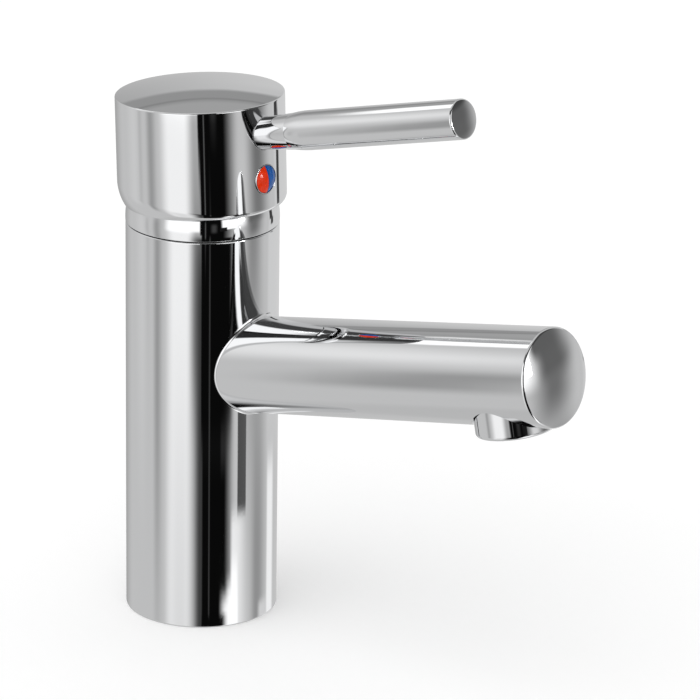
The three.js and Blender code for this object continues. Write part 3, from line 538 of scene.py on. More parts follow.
def polish_group():
    """Slow ripple and faint haze that hand polishing leaves under plate."""
    group, given, end = new_group("hand polish", {"Ripple size": 90.0, "Haze": 0.02},
                                  ["Height", "Haze"])
    place = object_place(group)
    slow = noise(group, stretched(group, place, (1.0, 1.0, 0.35)), given["Ripple size"], detail=1.0)
    fine = maths(group, "MULTIPLY", given["Ripple size"], 6.0)
    quick = noise(group, place, fine, detail=1.0)
    smear = noise(group, stretched(group, place, (1.0, 1.0, 0.6)), 55.0, detail=5.0, roughness=0.6)
    patch = spread(group, smear, 0.45, 0.8)
    specks = spread(group, noise(group, place, 900.0), 0.66, 0.8)
    blemish = maths(group, "MULTIPLY_ADD", specks, 0.5, patch)
    feed(group, end, Height=maths(group, "MULTIPLY_ADD", quick, 0.06, slow),
         Haze=maths(group, "MULTIPLY", blemish, given["Haze"]))
    return group


def grain_group():
    """Fine moulded or ground grain: a height, and a mask that mottles a colour."""
    group, given, end = new_group("surface grain", {"Grain size": 2500.0, "Stretch": (1.0, 1.0, 1.0)},
                                  ["Height", "Mottle"])
    place = object_place(group)
    drawn = put(group, "ShaderNodeVectorMath", {"operation": "MULTIPLY"}, in_0=place,
                in_1=given["Stretch"]).outputs[0]
    fine = noise(group, drawn, given["Grain size"], detail=3.0, roughness=0.6)
    broad = noise(group, place, 160.0, detail=4.0, roughness=0.55)
    mottle = spread(group, maths(group, "MULTIPLY_ADD", fine, 0.4, broad), 0.45, 0.95)
    feed(group, end, Height=fine, Mottle=mottle)
    return group


def shared_group(tree, name, make, **inputs):
    """A node that uses a group, which is made when it is first asked for."""
    group = bpy.data.node_groups.get(name) or make()
    return put(tree, "ShaderNodeGroup", {"node_tree": group}, **inputs).outputs


def blank_tree(owner, shader_kind="ShaderNodeBsdfPrincipled", end_kind="ShaderNodeOutputMaterial"):
    """Empties the tree of a material or a world but for one shader, and gives both."""
    owner.use_nodes = True
    tree = owner.node_tree
    tree.nodes.clear()
    shader = tree.nodes.new(shader_kind)
    put(tree, end_kind, Surface=shader.outputs[0])
    return tree, shader


def tinted(tree, tone, share, mask):
    """The colour, darkened by a share where the mask is 1."""
    mix = put(tree, "ShaderNodeMix", {"data_type": "RGBA"}, in_0=mask, in_6=(*tone, 1),
              in_7=(*(value * (1 - share) for value in tone), 1))
    return mix.outputs[2]


def bumped(tree, height, distance):
    return put(tree, "ShaderNodeBump", Height=height, Strength=1.0, Distance=distance).outputs["Normal"]


def plated(tree, shader, tone):
    """Polished plate: the haze of its polish shows in its colour and its roughness."""
    finishes = bpy.context.scene.mixer_finishes
    polish = shared_group(tree, "hand polish", polish_group, Haze=0.03)
    feed(tree, shader, Metallic=1.0,
         Base_Color=tinted(tree, tone, 0.08, polish["Haze"]),
         Roughness=maths(tree, "ADD", polish["Haze"], finishes.chrome_roughness),
         Normal=bumped(tree, polish["Height"], finishes.ripple))


def grained(tree, shader, tone, roughness, metallic=0.0, grain=2500.0, stretch=(1.0, 1.0, 1.0),
            depth=0.00001, share=0.2, ior=1.5):
    """Metal or plastic whose grain shows in its colour, its roughness and its height."""
    texture = shared_group(tree, "surface grain", grain_group, Grain_size=grain, Stretch=stretch)
    mottle = texture["Mottle"]
    feed(tree, shader, Metallic=metallic, IOR=ior,
         Base_Color=tinted(tree, tone, share, mottle),
         Roughness=spread(tree, mottle, 0.0, 1.0, roughness * 0.85, roughness * 1.15),
         Normal=bumped(tree, texture["Height"], depth))


ENAMEL = {"roughness": 0.12, "grain": 900.0, "depth": 0.000003, "share": 0.18, "ior": 1.36}

# The material of each slot of the record: its name, what fills it in, and with which settings.
MATERIALS = {
    "chrome": ("polished chrome", plated, {}),
    "brass": ("turned brass", grained, {"roughness": 0.28, "metallic": 1.0, "grain": 600.0,
                                        "stretch": (1, 1, 6), "depth": 0.00002}),
    "steel": ("ground steel", grained, {"roughness": 0.3, "metallic": 1.0, "grain": 1500.0,
                                        "stretch": (1, 1, 5)}),
    "rubber": ("sealing rubber", grained, {"roughness": 0.62, "grain": 3500.0, "share": 0.35}),
    "ceramic": ("lapped ceramic", grained, {"roughness": 0.12, "grain": 5000.0, "depth": 0.000002,
                                            "share": 0.05, "ior": 1.7}),
    "white_plastic": ("white acetal", grained, {"roughness": 0.42, "share": 0.08}),
    "grey_plastic": ("grey acetal", grained, {"roughness": 0.45, "share": 0.15}),
    "red_plastic": ("red enamel plastic", grained, ENAMEL),
    "blue_plastic": ("blue enamel plastic", grained, ENAMEL),
}


def finish(slot):
    """The material of a slot of the record, made when it is first asked for."""
    name, fill_in, settings = MATERIALS[slot]
    material = bpy.data.materials.get(name)
    if not material:
        material = bpy.data.materials.new(name)
        tree, shader = blank_tree(material)
        fill_in(tree, shader, getattr(bpy.context.scene.mixer_finishes, slot), **settings)
    return material


# ---- Body and spout ----

THREAD_HEIGHT = 0.45    # of the thread's pitch
DRILL_POINT = 0.5       # height of the cone that a drill leaves, of the hole's radius


def threaded_socket(skin, body, place, radius, depth):
    """A tapped hole that opens downwards, and the points of its mouth."""
    pitch, chamfer = body.thread_pitch, body.socket_chamfer
    tooth = pitch * THREAD_HEIGHT
    corners = [(0, depth + radius * DRILL_POINT), (radius - tooth, depth)]
    for i in range(int((depth - chamfer) / pitch), 0, -1):
        corners.append((radius, chamfer + (i - 0.5) * pitch))
        corners.append((radius - tooth, chamfer + (i - 1) * pitch))
    corners.append((radius + chamfer, 0))
    return points_of(skin.turn(place, path(*corners), round_angles(count=40))[-1])


def underside(skin, body, angles):
    """The base: rounded edge, gasket groove, and the sockets of the supply tails and the stud."""
    start = body.radius - body.base_round
    skin.turn(Matrix(), bend((start, body.base_round), body.base_round, -QUARTER, 0, count=5), angles)
    rows = skin.turn(Matrix(), path(
        (body.groove_inner, 0),
        (body.groove_inner, body.groove_depth),
        (body.groove_outer, body.groove_depth),
        (body.groove_outer, 0),
        (start, 0),
    ), angles)
    inlet, stud = (body.inlet_radius, body.inlet_depth), (body.stud_radius, body.stud_depth)
    sockets = [
        threaded_socket(skin, body, Matrix.Translation((x, y, 0)), *size) for x, y, size in (
            (-body.inlet_across, body.inlet_back, inlet),
            (body.inlet_across, body.inlet_back, inlet),
            (0, -body.stud_forward, stud),
        )
    ]
    skin.flat([points_of(rows[0])] + sockets, Vector((0, 0, -1)))


def body_top(skin, body, angles):
    """The upper edge and the bore that holds the cartridge and its nut."""
    start = body.radius - body.top_round
    edge = bend((start, body.height - body.top_round), body.top_round, 0, QUARTER, count=4)
    shoulder = body.height - body.thread_depth
    seat = body.height - body.seat_depth
    skin.turn(Matrix(), edge + path(
        (start, body.height),
        (body.bore_radius, body.height),
        (body.bore_radius, shoulder),
        (body.seat_radius, shoulder),
        (body.seat_radius, seat),
        (0, seat),
    ), angles)


def spout_root(skin, tubes, fillet, place, angles):
    """The cove between the body and the spout; returns where it ends along the spout.

    Its middle runs where two tubes meet that are wider than both by the fillet."""
    spin = place.to_3x3()
    columns = []
    ways = []
    for a in angles:
        (turn, z), way = meeting(*tubes, a)
        centre = polar(tubes[0], turn, z)
        to_body = -polar(1, turn)
        to_spout = spin @ -polar(1, a)
        sides = [to_body.slerp(to_spout, share) for share in even(0, 1, count=8)]
        columns.append([(centre + side * fillet, -side) for side in sides])
        ways.append(way)
    skin.strip([list(row) for row in zip(*columns)])
    return ways


def outlet_hole(skin, spout, place, angles):
    """The hole for the aerator, with its rolled mouth, the washer's seat and the passage above."""
    spin = place.to_3x3()
    down = spin @ Vector((0, -1, 0))
    start, corner, end = [], [], []
    for a in angles:
        out = Vector((math.cos(a), 0, math.sin(a)))

        def on_wall(radius):
            x = radius * out.x
            return Vector((x, -math.sqrt(spout.radius ** 2 - x ** 2), spout.outlet_at + radius * out.z))

        lip = on_wall(spout.hole_radius + spout.hole_edge)
        sharp = on_wall(spout.hole_radius)
        start.append((place @ lip, spin @ Vector((lip.x, lip.y, 0)).normalized()))
        corner.append(place @ sharp)
        end.append((place @ (sharp + Vector((0, spout.hole_edge, 0))), spin @ -out))
    rows = rolled_edge(start, corner, end)
    inward = [normal for _, normal in end]
    downward = [down] * len(angles)
    seat, passage = spout.hole_seat, spout.passage_radius
    for radius, depth, normals in (
        (spout.hole_radius, seat, inward), (spout.hole_radius, seat, downward),
        (passage, seat, downward), (passage, seat, inward),
        (passage, 0, inward), (passage, 0, downward), (0, 0, downward),
    ):
        level = [place @ Vector((radius * math.cos(a), -depth, spout.outlet_at + radius * math.sin(a)))
                 for a in angles]
        rows.append(list(zip(level, normals)))
    skin.strip(rows)


def end_profile(radius, end, edge, crown):
    """The rounded edge and the crowned face of a bar's end."""
    flat = radius - edge
    sphere = arc_radius(flat, crown)
    edge_top = QUARTER - math.asin(flat / sphere)
    rim = bend((flat, end - edge), edge, 0, edge_top, count=8)
    face = bend((0, end + crown - sphere), sphere, edge_top, QUARTER, count=12)
    sink = edge * (1 - math.sin(edge_top))
    widen = (flat + edge * math.cos(edge_top)) / flat
    lowered = [((r * widen, z - sink), normal) for (r, z), normal in face[:-1]]
    return rim + lowered + [((0, face[-1][0][1] - sink), (0, 1))]


class MIXER_OT_body(Operator):
    """Builds the body with its spout as one plated casting"""
    bl_idname = "mixer.body"
    bl_label = "Body and spout"

    def execute(self, context):
        body = context.scene.mixer_body
        spout = context.scene.mixer_spout
        skin = Skin()
        fillet = spout.root_fillet
        tubes = (body.radius + fillet, spout.radius + fillet, spout.height, SPOUT_RISE)
        margin = spout.radius / 3    # from the cove to the rows and columns beside it

        def root_mouth(a):
            return meeting(*tubes, a)[0]

        half = math.asin(tubes[1] / tubes[0]) + margin / body.radius
        low = root_mouth(-QUARTER)[1] - margin
        high = root_mouth(QUARTER)[1] + margin
        count, below, above = body.columns, 8, 4    # rows of the window, below it and above it
        behind = even(FRONT + half, FRONT - half + FULL_TURN, 3 * count)
        across = even(FRONT - half, FRONT + half, count) + behind[1:-1]
        up = (even(body.base_round, low, below) + even(low, high, count)[1:]
              + even(high, body.height - body.top_round, above)[1:])
        window = Window((0, count), (below, below + count), root_mouth, ring_steps=8)
        pierced_wall(skin, tube_surface(Matrix(), body.radius), across, up,
                     (body.radius, 1), [window])
        underside(skin, body, across)
        body_top(skin, body, across)

        place = along_front(spout.height, SPOUT_RISE)
        ways = spout_root(skin, tubes, fillet, place, window.angles)
        tube = tube_surface(place, spout.radius)
        start = max(ways) + margin
        skin.strip([[tube(a, way + (start - way) * share) for a, way in zip(window.angles, ways)]
                    for share in even(0, 1, count=6)])

        angles = [a if a >= QUARTER else a + FULL_TURN for a in window.angles]
        reach = spout.hole_radius + spout.hole_edge
        side = math.asin(reach / spout.radius) + spout.end_round / spout.radius
        left, right = (min(range(len(angles)), key=lambda i: abs(angles[i] - wanted))
                       for wanted in (FRONT - side, FRONT + side))
        before_hole = spout.outlet_at - reach - spout.end_round
        before, count, beyond = 8, 32, 1    # rows before the hole, from there on, and beyond it
        rows = (even(start, before_hole, before)
                + even(before_hole, spout.length - spout.end_round, count)[1:])

        def outlet_mouth(a):
            return (FULL_TURN - math.acos(reach * math.cos(a) / spout.radius),
                    spout.outlet_at + reach * math.sin(a))

        hole = Window((left, right), (before, before + count - beyond), outlet_mouth)
        pierced_wall(skin, tube, angles, rows, (spout.radius, 1), [hole])
        outlet_hole(skin, spout, place, hole.angles)
        skin.turn(place, end_profile(spout.radius, spout.length, spout.end_round, spout.end_crown),
                  angles)
        skin.piece("body_and_spout", "body", ["body_casting"], "chrome")
        return {"FINISHED"}


# ---- Collar and gasket ----

class MIXER_OT_collar(Operator):
    """Builds the trim collar under the head and the gasket under the body"""
    bl_idname = "mixer.collar"
    bl_label = "Collar and gasket"

    def execute(self, context):
        collar = context.scene.mixer_collar
        body = context.scene.mixer_body
        edge = collar.edge_round
        middle = PIVOT.z - collar.drop
        low = math.asin((body.height + collar.gap + edge - middle) / collar.radius)
        high = math.asin((collar.top - edge - middle) / collar.radius)
        inner = collar.radius - edge
        low_centre = (inner * math.cos(low), middle + inner * math.sin(low))
        high_centre = (inner * math.cos(high), middle + inner * math.sin(high))
        bore, bottom, top = collar.bore_radius, low_centre[1] - edge, high_centre[1] + edge
        turned_piece("trim_collar", "body", "collar_ring", "chrome", Matrix(), (
            path((bore, bottom), (low_centre[0], bottom))
            + bend(low_centre, edge, -QUARTER, low, count=5)
            + bend((0, middle), collar.radius, low, high, count=24)
            + bend(high_centre, edge, high, QUARTER, count=5)
            + path((high_centre[0], top), (bore, top), (bore, bottom))
        ), count=160)

        half = collar.gasket_width / 2
        roll = half / 2
        inner, outer = collar.gasket_radius - half + roll, collar.gasket_radius + half - roll
        low, high = roll, collar.gasket_height - roll
        profile = []
        for i, centre in enumerate(((outer, low), (outer, high), (inner, high), (inner, low))):
            profile += bend(centre, roll, (i - 1) * QUARTER, i * QUARTER, count=4)
        profile += line((inner, 0), (outer, 0))
        turned_piece("deck_gasket", "body", "base_gasket", "rubber", Matrix(), profile)
        return {"FINISHED"}


# ---- Aerator ----

class MIXER_OT_aerator(Operator):
    """Builds the aerator's housing and its jet former"""
    bl_idname = "mixer.aerator"
    bl_label = "Aerator"

    def execute(self, context):
        aerator = context.scene.mixer_aerator
        spout = context.scene.mixer_spout
        place = (along_front(spout.height, SPOUT_RISE) @ Matrix.Translation((0, 0, spout.outlet_at))
                 @ Matrix.Rotation(QUARTER, 4, "X"))
        radius, bore, lip = aerator.radius, aerator.bore_radius, aerator.lip_radius
        back, face, edge = aerator.back, aerator.face, aerator.edge_round
        lip_edge, lip_floor = edge / 6, face - aerator.lip_height
        turned_piece("aerator_shell", "body", "aerator_housing", "chrome", place, (
            path((bore, back), (radius, back), (radius, face - edge))
            + bend((radius - edge, face - edge), edge, 0, QUARTER)
            + bend((lip + lip_edge, face - lip_edge), lip_edge, QUARTER, math.pi, count=4)
            + path((lip, face - lip_edge), (lip, lip_floor), (bore, lip_floor), (bore, back))
        ))

        radius, jet = aerator.insert_radius, aerator.jet_radius
        back, face, bevel = aerator.insert_back, aerator.insert_face, jet / 4
        skin = Skin()
        wall = skin.turn(place, path((radius, back), (radius, face - bevel), (radius - bevel, face)),
                         round_angles(count=96))
        fronts, backs = [points_of(wall[-1])], [points_of(wall[0])]
        for ring, count in ((0, 1), (aerator.inner_ring, 6), (aerator.outer_ring, 12)):
            for a in round_angles(count):
                rows = skin.turn(place @ Matrix.Translation(polar(ring, a)),
                                 path((jet + bevel, face), (jet, face - bevel), (jet, back)),
                                 round_angles(count=24))
                fronts.append(points_of(rows[0]))
                backs.append(points_of(rows[-1]))
        axis = place.to_3x3() @ Vector((0, 0, 1))
        skin.flat(fronts, axis)
        skin.flat(backs, -axis)
        skin.piece("jet_former", "body", ["aerator_insert"], "grey_plastic")
        return {"FINISHED"}


# ---- Head ----

def skirt_size(head, u):
    """Width and height of the skirt's rounding at an angle round the head; it grows to the back."""
    rear = (1 + math.sin(u)) / 2
    return (head.front_inset + (head.rear_inset - head.front_inset) * rear,
            head.front_height + (head.rear_height - head.front_height) * rear)


def skirt_point(head, u, share):
    """A point of the skirt's rounding, from its edge (0) to the wall (1)."""
    inset, height = skirt_size(head, u)
    sphere = arc_radius(height, inset)
    a = math.asin(height / sphere) * (1 - share)
    return polar(head.radius - sphere * (1 - math.cos(a)), u,
                 head.bottom + height - sphere * math.sin(a))


def skirt_rows(head, place, angles, count=12):
    """The skirt's rounding, with normals from its own slopes."""
    step = 1e-3    # to both sides of a point, as an angle and as a share
    spin = place.to_3x3()
    rows = []
    for share in even(0, 1, count):
        row = []
        for u in angles:
            around = skirt_point(head, u + step, share) - skirt_point(head, u - step, share)
            upward = skirt_point(head, u, share + step) - skirt_point(head, u, share - step)
            normal = (spin @ around.cross(upward)).normalized()
            row.append((place @ skirt_point(head, u, share), normal))
        rows.append(row)
    return rows


def head_top_profile(head):
    """The wall's taper, the edge and the crown, which meet without a crease, and where they start."""
    edge = head.edge_round
    start = head.rim - edge - head.taper_height
    sphere = arc_radius(head.taper_height, head.taper)
    lean = math.asin(head.taper_height / sphere)
    taper = bend((head.radius - sphere, start), sphere, 0, lean, count=6)
    (radius, height), _ = taper[-1]
    centre = (radius - edge * math.cos(lean), height - edge * math.sin(lean))
    crown_radius = arc_radius(centre[0], head.crown - centre[1] - edge)
    edge_top = QUARTER - math.asin(centre[0] / crown_radius)
    rim = bend(centre, edge, lean, edge_top, count=6)
    middle = (0, centre[1] - crown_radius * math.sin(edge_top))
    crown = bend(middle, crown_radius + edge, edge_top, QUARTER, count=16)
    return start, taper + rim + crown[:-1] + [((0, crown[-1][0][1]), (0, 1))]


def cavity(skin, head, place, skirt_edge, angles):
    """The hollow under the head, round the bridge that takes the stem and the lever's tail."""
    spin = place.to_3x3()
    down = spin @ Vector((0, 0, -1))
    half = math.asin(head.bridge_half / head.bore_radius)
    left, right = FRONT - half, FRONT + half
    whole_turn = sorted([*angles, left, right])
    bridge_turn = [left] + [u for u in angles if left < u < right] + [right]
    open_turn = [right] + [u for u in angles if u > right] + [u for u in angles if u < left] + [left]

    def wall(turns, z):
        return [(place @ polar(head.bore_radius, u, z), spin @ -polar(1, u)) for u in turns]

    skin.strip([[(point, down) for point in points_of(row)]
                for row in (skirt_edge, wall(angles, head.bottom))])
    skin.strip([wall(whole_turn, z) for z in (head.bottom, head.bridge_bottom)])
    skin.strip([wall(open_turn, z) for z in (head.bridge_bottom, head.roof)], closed=False)
    side, back = head.bridge_half, head.bridge_back
    front = -math.sqrt(head.bore_radius ** 2 - side ** 2)
    low, high = ([place @ Vector((x, y, z))
                  for x, y in ((side, front), (side, back), (-side, back), (-side, front))]
                 for z in (head.bridge_bottom, head.roof))
    for i, normal in enumerate(((1, 0, 0), (0, 1, 0), (-1, 0, 0))):
        outward = spin @ Vector(normal)
        skin.face([(point, outward) for point in (low[i], low[i + 1], high[i + 1], high[i])])
    skin.flat([points_of(wall(bridge_turn, head.bridge_bottom)) + [low[1], low[2]]], down)
    skin.flat([points_of(wall(open_turn, head.roof)) + [high[2], high[1]]], down)


def pocket(skin, head, place, bore, height, rise, angles, edge, floor):
    """A blind hole with a rolled mouth in the head's wall."""
    spin = place.to_3x3()
    hole = place @ along_front(height, rise)
    hole_spin = hole.to_3x3()
    start, corner, end, low = [], [], [], []
    for a in angles:
        (u, z), _ = meeting(head.radius, bore + edge, height, rise, a)
        _, way = meeting(head.radius, bore, height, rise, a)
        inward = hole_spin @ -polar(1, a)
        start.append((place @ polar(head.radius, u, z), spin @ polar(1, u)))
        corner.append(hole @ polar(bore, a, way))
        end.append((hole @ polar(bore, a, way - edge), inward))
        low.append((hole @ polar(bore, a, floor), inward))
    outward = hole_spin @ Vector((0, 0, 1))
    skin.strip(rolled_edge(start, corner, end) + [
        low,
        [(point, outward) for point in points_of(low)],
        [(hole @ polar(0, 0, floor), outward)] * len(angles),
    ])


class MIXER_OT_head(Operator):
    """Builds the head that turns and lifts"""
    bl_idname = "mixer.head"
    bl_label = "Head"

    WINDOW_WIDTH = 1.7       # of the lever's hole
    BESIDE_MOUTH = 0.02      # from a mouth to the rows beside it, of the wall's height
    ROWS_BELOW = 2           # from the skirt to the window of the button
    WINDOW_ROWS = 14

    def execute(self, context):
        head = context.scene.mixer_head
        lever = context.scene.mixer_lever
        index = context.scene.mixer_index
        place = head_place()
        spin = place.to_3x3()
        lever_hole = lever.neck_radius + lever.neck_gap
        index_hole = index.radius + index.pocket_gap
        half = self.WINDOW_WIDTH * lever_hole / head.radius
        behind = even(FRONT + half, FRONT + FULL_TURN - half, 4 * head.columns)
        across = even(FRONT - half, FRONT + half, head.columns) + behind[1:-1]
        rim_start, top = head_top_profile(head)

        def ends(u):
            """Heights of the two ends of the wall, at an angle round the head."""
            return (head.bottom + skirt_size(head, u)[1],
                    rim_start - head.radius * math.sin(u) * math.tan(head.slant))

        def wall(u, share):
            low, high = ends(u)
            return place @ polar(head.radius, u, low + (high - low) * share), spin @ polar(1, u)

        def mouth_of(radius, height, rise):
            def mouth(a):
                (u, z), _ = meeting(head.radius, radius, height, rise, a)
                low, high = ends(u)
                return u, (z - low) / (high - low)
            return mouth

        lever_mouth = mouth_of(lever_hole + head.hole_edge, lever.height, lever.pitch)
        index_mouth = mouth_of(index_hole + index.pocket_gap, index.height, 0)
        index_low = index_mouth(-QUARTER)[1] - self.BESIDE_MOUTH
        index_high = index_mouth(QUARTER)[1] + self.BESIDE_MOUTH
        lever_low = lever_mouth(-QUARTER)[1] - self.BESIDE_MOUTH / 2
        lever_high = (lever_mouth(QUARTER)[1] + 1) / 2
        up = (even(0, index_low, self.ROWS_BELOW) + even(index_low, index_high, self.WINDOW_ROWS)[1:]
              + even(lever_low, lever_high, self.WINDOW_ROWS) + [1])
        index_top = self.ROWS_BELOW + self.WINDOW_ROWS
        columns = (0, head.columns)
        index_window = Window(columns, (self.ROWS_BELOW, index_top), index_mouth, ring_steps=5)
        lever_window = Window(columns, (index_top + 1, len(up) - 2), lever_mouth, ring_steps=5)
        skin = Skin()
        pierced_wall(skin, wall, across, up, (head.radius, rim_start - head.bottom),
                     [index_window, lever_window])
        skirt = skirt_rows(head, place, across)
        skin.strip(skirt)
        cavity(skin, head, place, skirt[0], across)
        slanted = Matrix.Identity(4)
        slanted[2][1] = -math.tan(head.slant)
        skin.turn(place @ slanted, top, across)
        pocket(skin, head, place, lever_hole, lever.height, lever.pitch, lever_window.angles,
               head.hole_edge, lever.root - lever.neck_gap)
        pocket(skin, head, place, index_hole, index.height, 0, index_window.angles,
               index.pocket_gap, head.radius - index.depth)
        skin.piece("head_cap", "head", ["head_shell"], "chrome")
        return {"FINISHED"}


# ---- Lever ----

class MIXER_OT_lever(Operator):
    """Builds the pin lever"""
    bl_idname = "mixer.lever"
    bl_label = "Lever"

    def execute(self, context):
        lever = context.scene.mixer_lever
        tail = lever.root - lever.tail_length
        shoulder_end = lever.neck_end + lever.shoulder
        sphere = arc_radius(lever.shoulder, lever.radius - lever.neck_wide)
        lean = math.asin(lever.shoulder / sphere)
        place = head_place() @ along_front(lever.height, lever.pitch)
        turned_piece("pin_lever", "head", "lever_bar", "chrome", place, (
            path((0, tail), (lever.tail_radius, tail), (lever.tail_radius, lever.root),
                 (lever.neck_radius, lever.root), (lever.neck_wide, lever.neck_end))
            + bend((lever.radius - sphere, shoulder_end), sphere, -lean, 0)
            + line((lever.radius, shoulder_end), (lever.radius, lever.end - lever.end_round))
            + end_profile(lever.radius, lever.end, lever.end_round, lever.end_crown)
        ), count=96)
        return {"FINISHED"}


# ---- Index button ----

def cushion(place, index, radius, edge, floor, side):
    """One coloured half of the button: a domed plate with a rounded rim, cut off beside the split."""
    spin = place.to_3x3()
    near = index.split / 2
    top = index.dome + index.rim / 2
    step = radius / 500    # to both sides of a point, for its slope
    inside = 0.9995        # keeps the slope at the rim on the dome
    shares, turns = even(0, 1, count=18), even(-QUARTER, QUARTER, count=40)

    def flat(share, a):
        """A point of the half's plan, from the middle of the split (0) to the rim (1)."""
        bow = math.sin(share * QUARTER)
        reach = max(radius * math.cos(a) - near, 0)
        return Vector((side * (near + reach * bow), radius * math.sin(a) * bow, 0))

    def height(x, y):
        return edge + top * (1 - min(math.hypot(x, y) / radius, 1) ** 2)

    def domed(share, a):
        x, y, _ = flat(share, a)
        return place @ Vector((x, y, height(x, y)))

    def normal(share, a):
        x, y, _ = (value * inside for value in flat(share, a))
        return (spin @ Vector((
            (height(x - step, y) - height(x + step, y)) / (2 * step),
            (height(x, y - step) - height(x, y + step)) / (2 * step),
            1,
        ))).normalized()

    skin = Skin()
    skin.strip([[(domed(share, a), normal(share, a)) for a in turns] for share in shares], closed=False)
    rim = [flat(1, a) for a in turns]
    upper, lower = ([(place @ (point + Vector((0, 0, z))), spin @ point.normalized()) for point in rim]
                    for z in (edge, floor))
    skin.strip([upper, lower], closed=False)
    skin.flat([points_of(lower)], spin @ Vector((0, 0, -1)))
    cut = [domed(share, -QUARTER) for share in shares[:0:-1]]
    cut += [domed(share, QUARTER) for share in shares] + [lower[-1][0], lower[0][0]]
    skin.flat([cut], spin @ Vector((-side, 0, 0)))
    return skin


class MIXER_OT_index(Operator):
    """Builds the hot and cold button under the lever"""
    bl_idname = "mixer.index"
    bl_label = "Index button"

    def execute(self, context):
        index = context.scene.mixer_index
        head = context.scene.mixer_head
        place = head_place() @ along_front(index.height, 0) @ Matrix.Rotation(index.roll, 4, "Z")
        back = head.radius - index.depth + index.pocket_gap
        inner = index.radius - index.rim
        roll = index.rim / 2
        edge, floor = head.radius + index.proud - roll, back + index.floor
        turned_piece("index_ring", "head", "index_cup", "chrome", place, (
            path((0, back), (index.radius, back), (index.radius, edge))
            + bend((index.radius - roll, edge), roll, 0, math.pi)
            + path((inner, edge), (inner, floor), (0, floor))
        ), count=64)
        for side, name, node, slot in ((-1, "hot_half", "index_red", "red_plastic"),
                                       (1, "cold_half", "index_blue", "blue_plastic")):
            half = cushion(place, index, inner - index.split, edge, floor, side)
            half.piece(name, "head", [node], slot)
        return {"FINISHED"}


# ---- Inner pieces ----

class MIXER_OT_cartridge(Operator):
    """Finishes the pieces inside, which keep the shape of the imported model"""
    bl_idname = "mixer.cartridge"
    bl_label = "Cartridge and seals"

    def execute(self, context):
        for part in frame["record"]["subparts"]:
            mesh = frame["nodes"][part["node"]].data
            mesh.materials.clear()
            mesh.materials.append(finish(part["material_slot"]))
        return {"FINISHED"}


# ---- Studio ----

TENT_WALL = 0.57    # level of the tent's bare wall

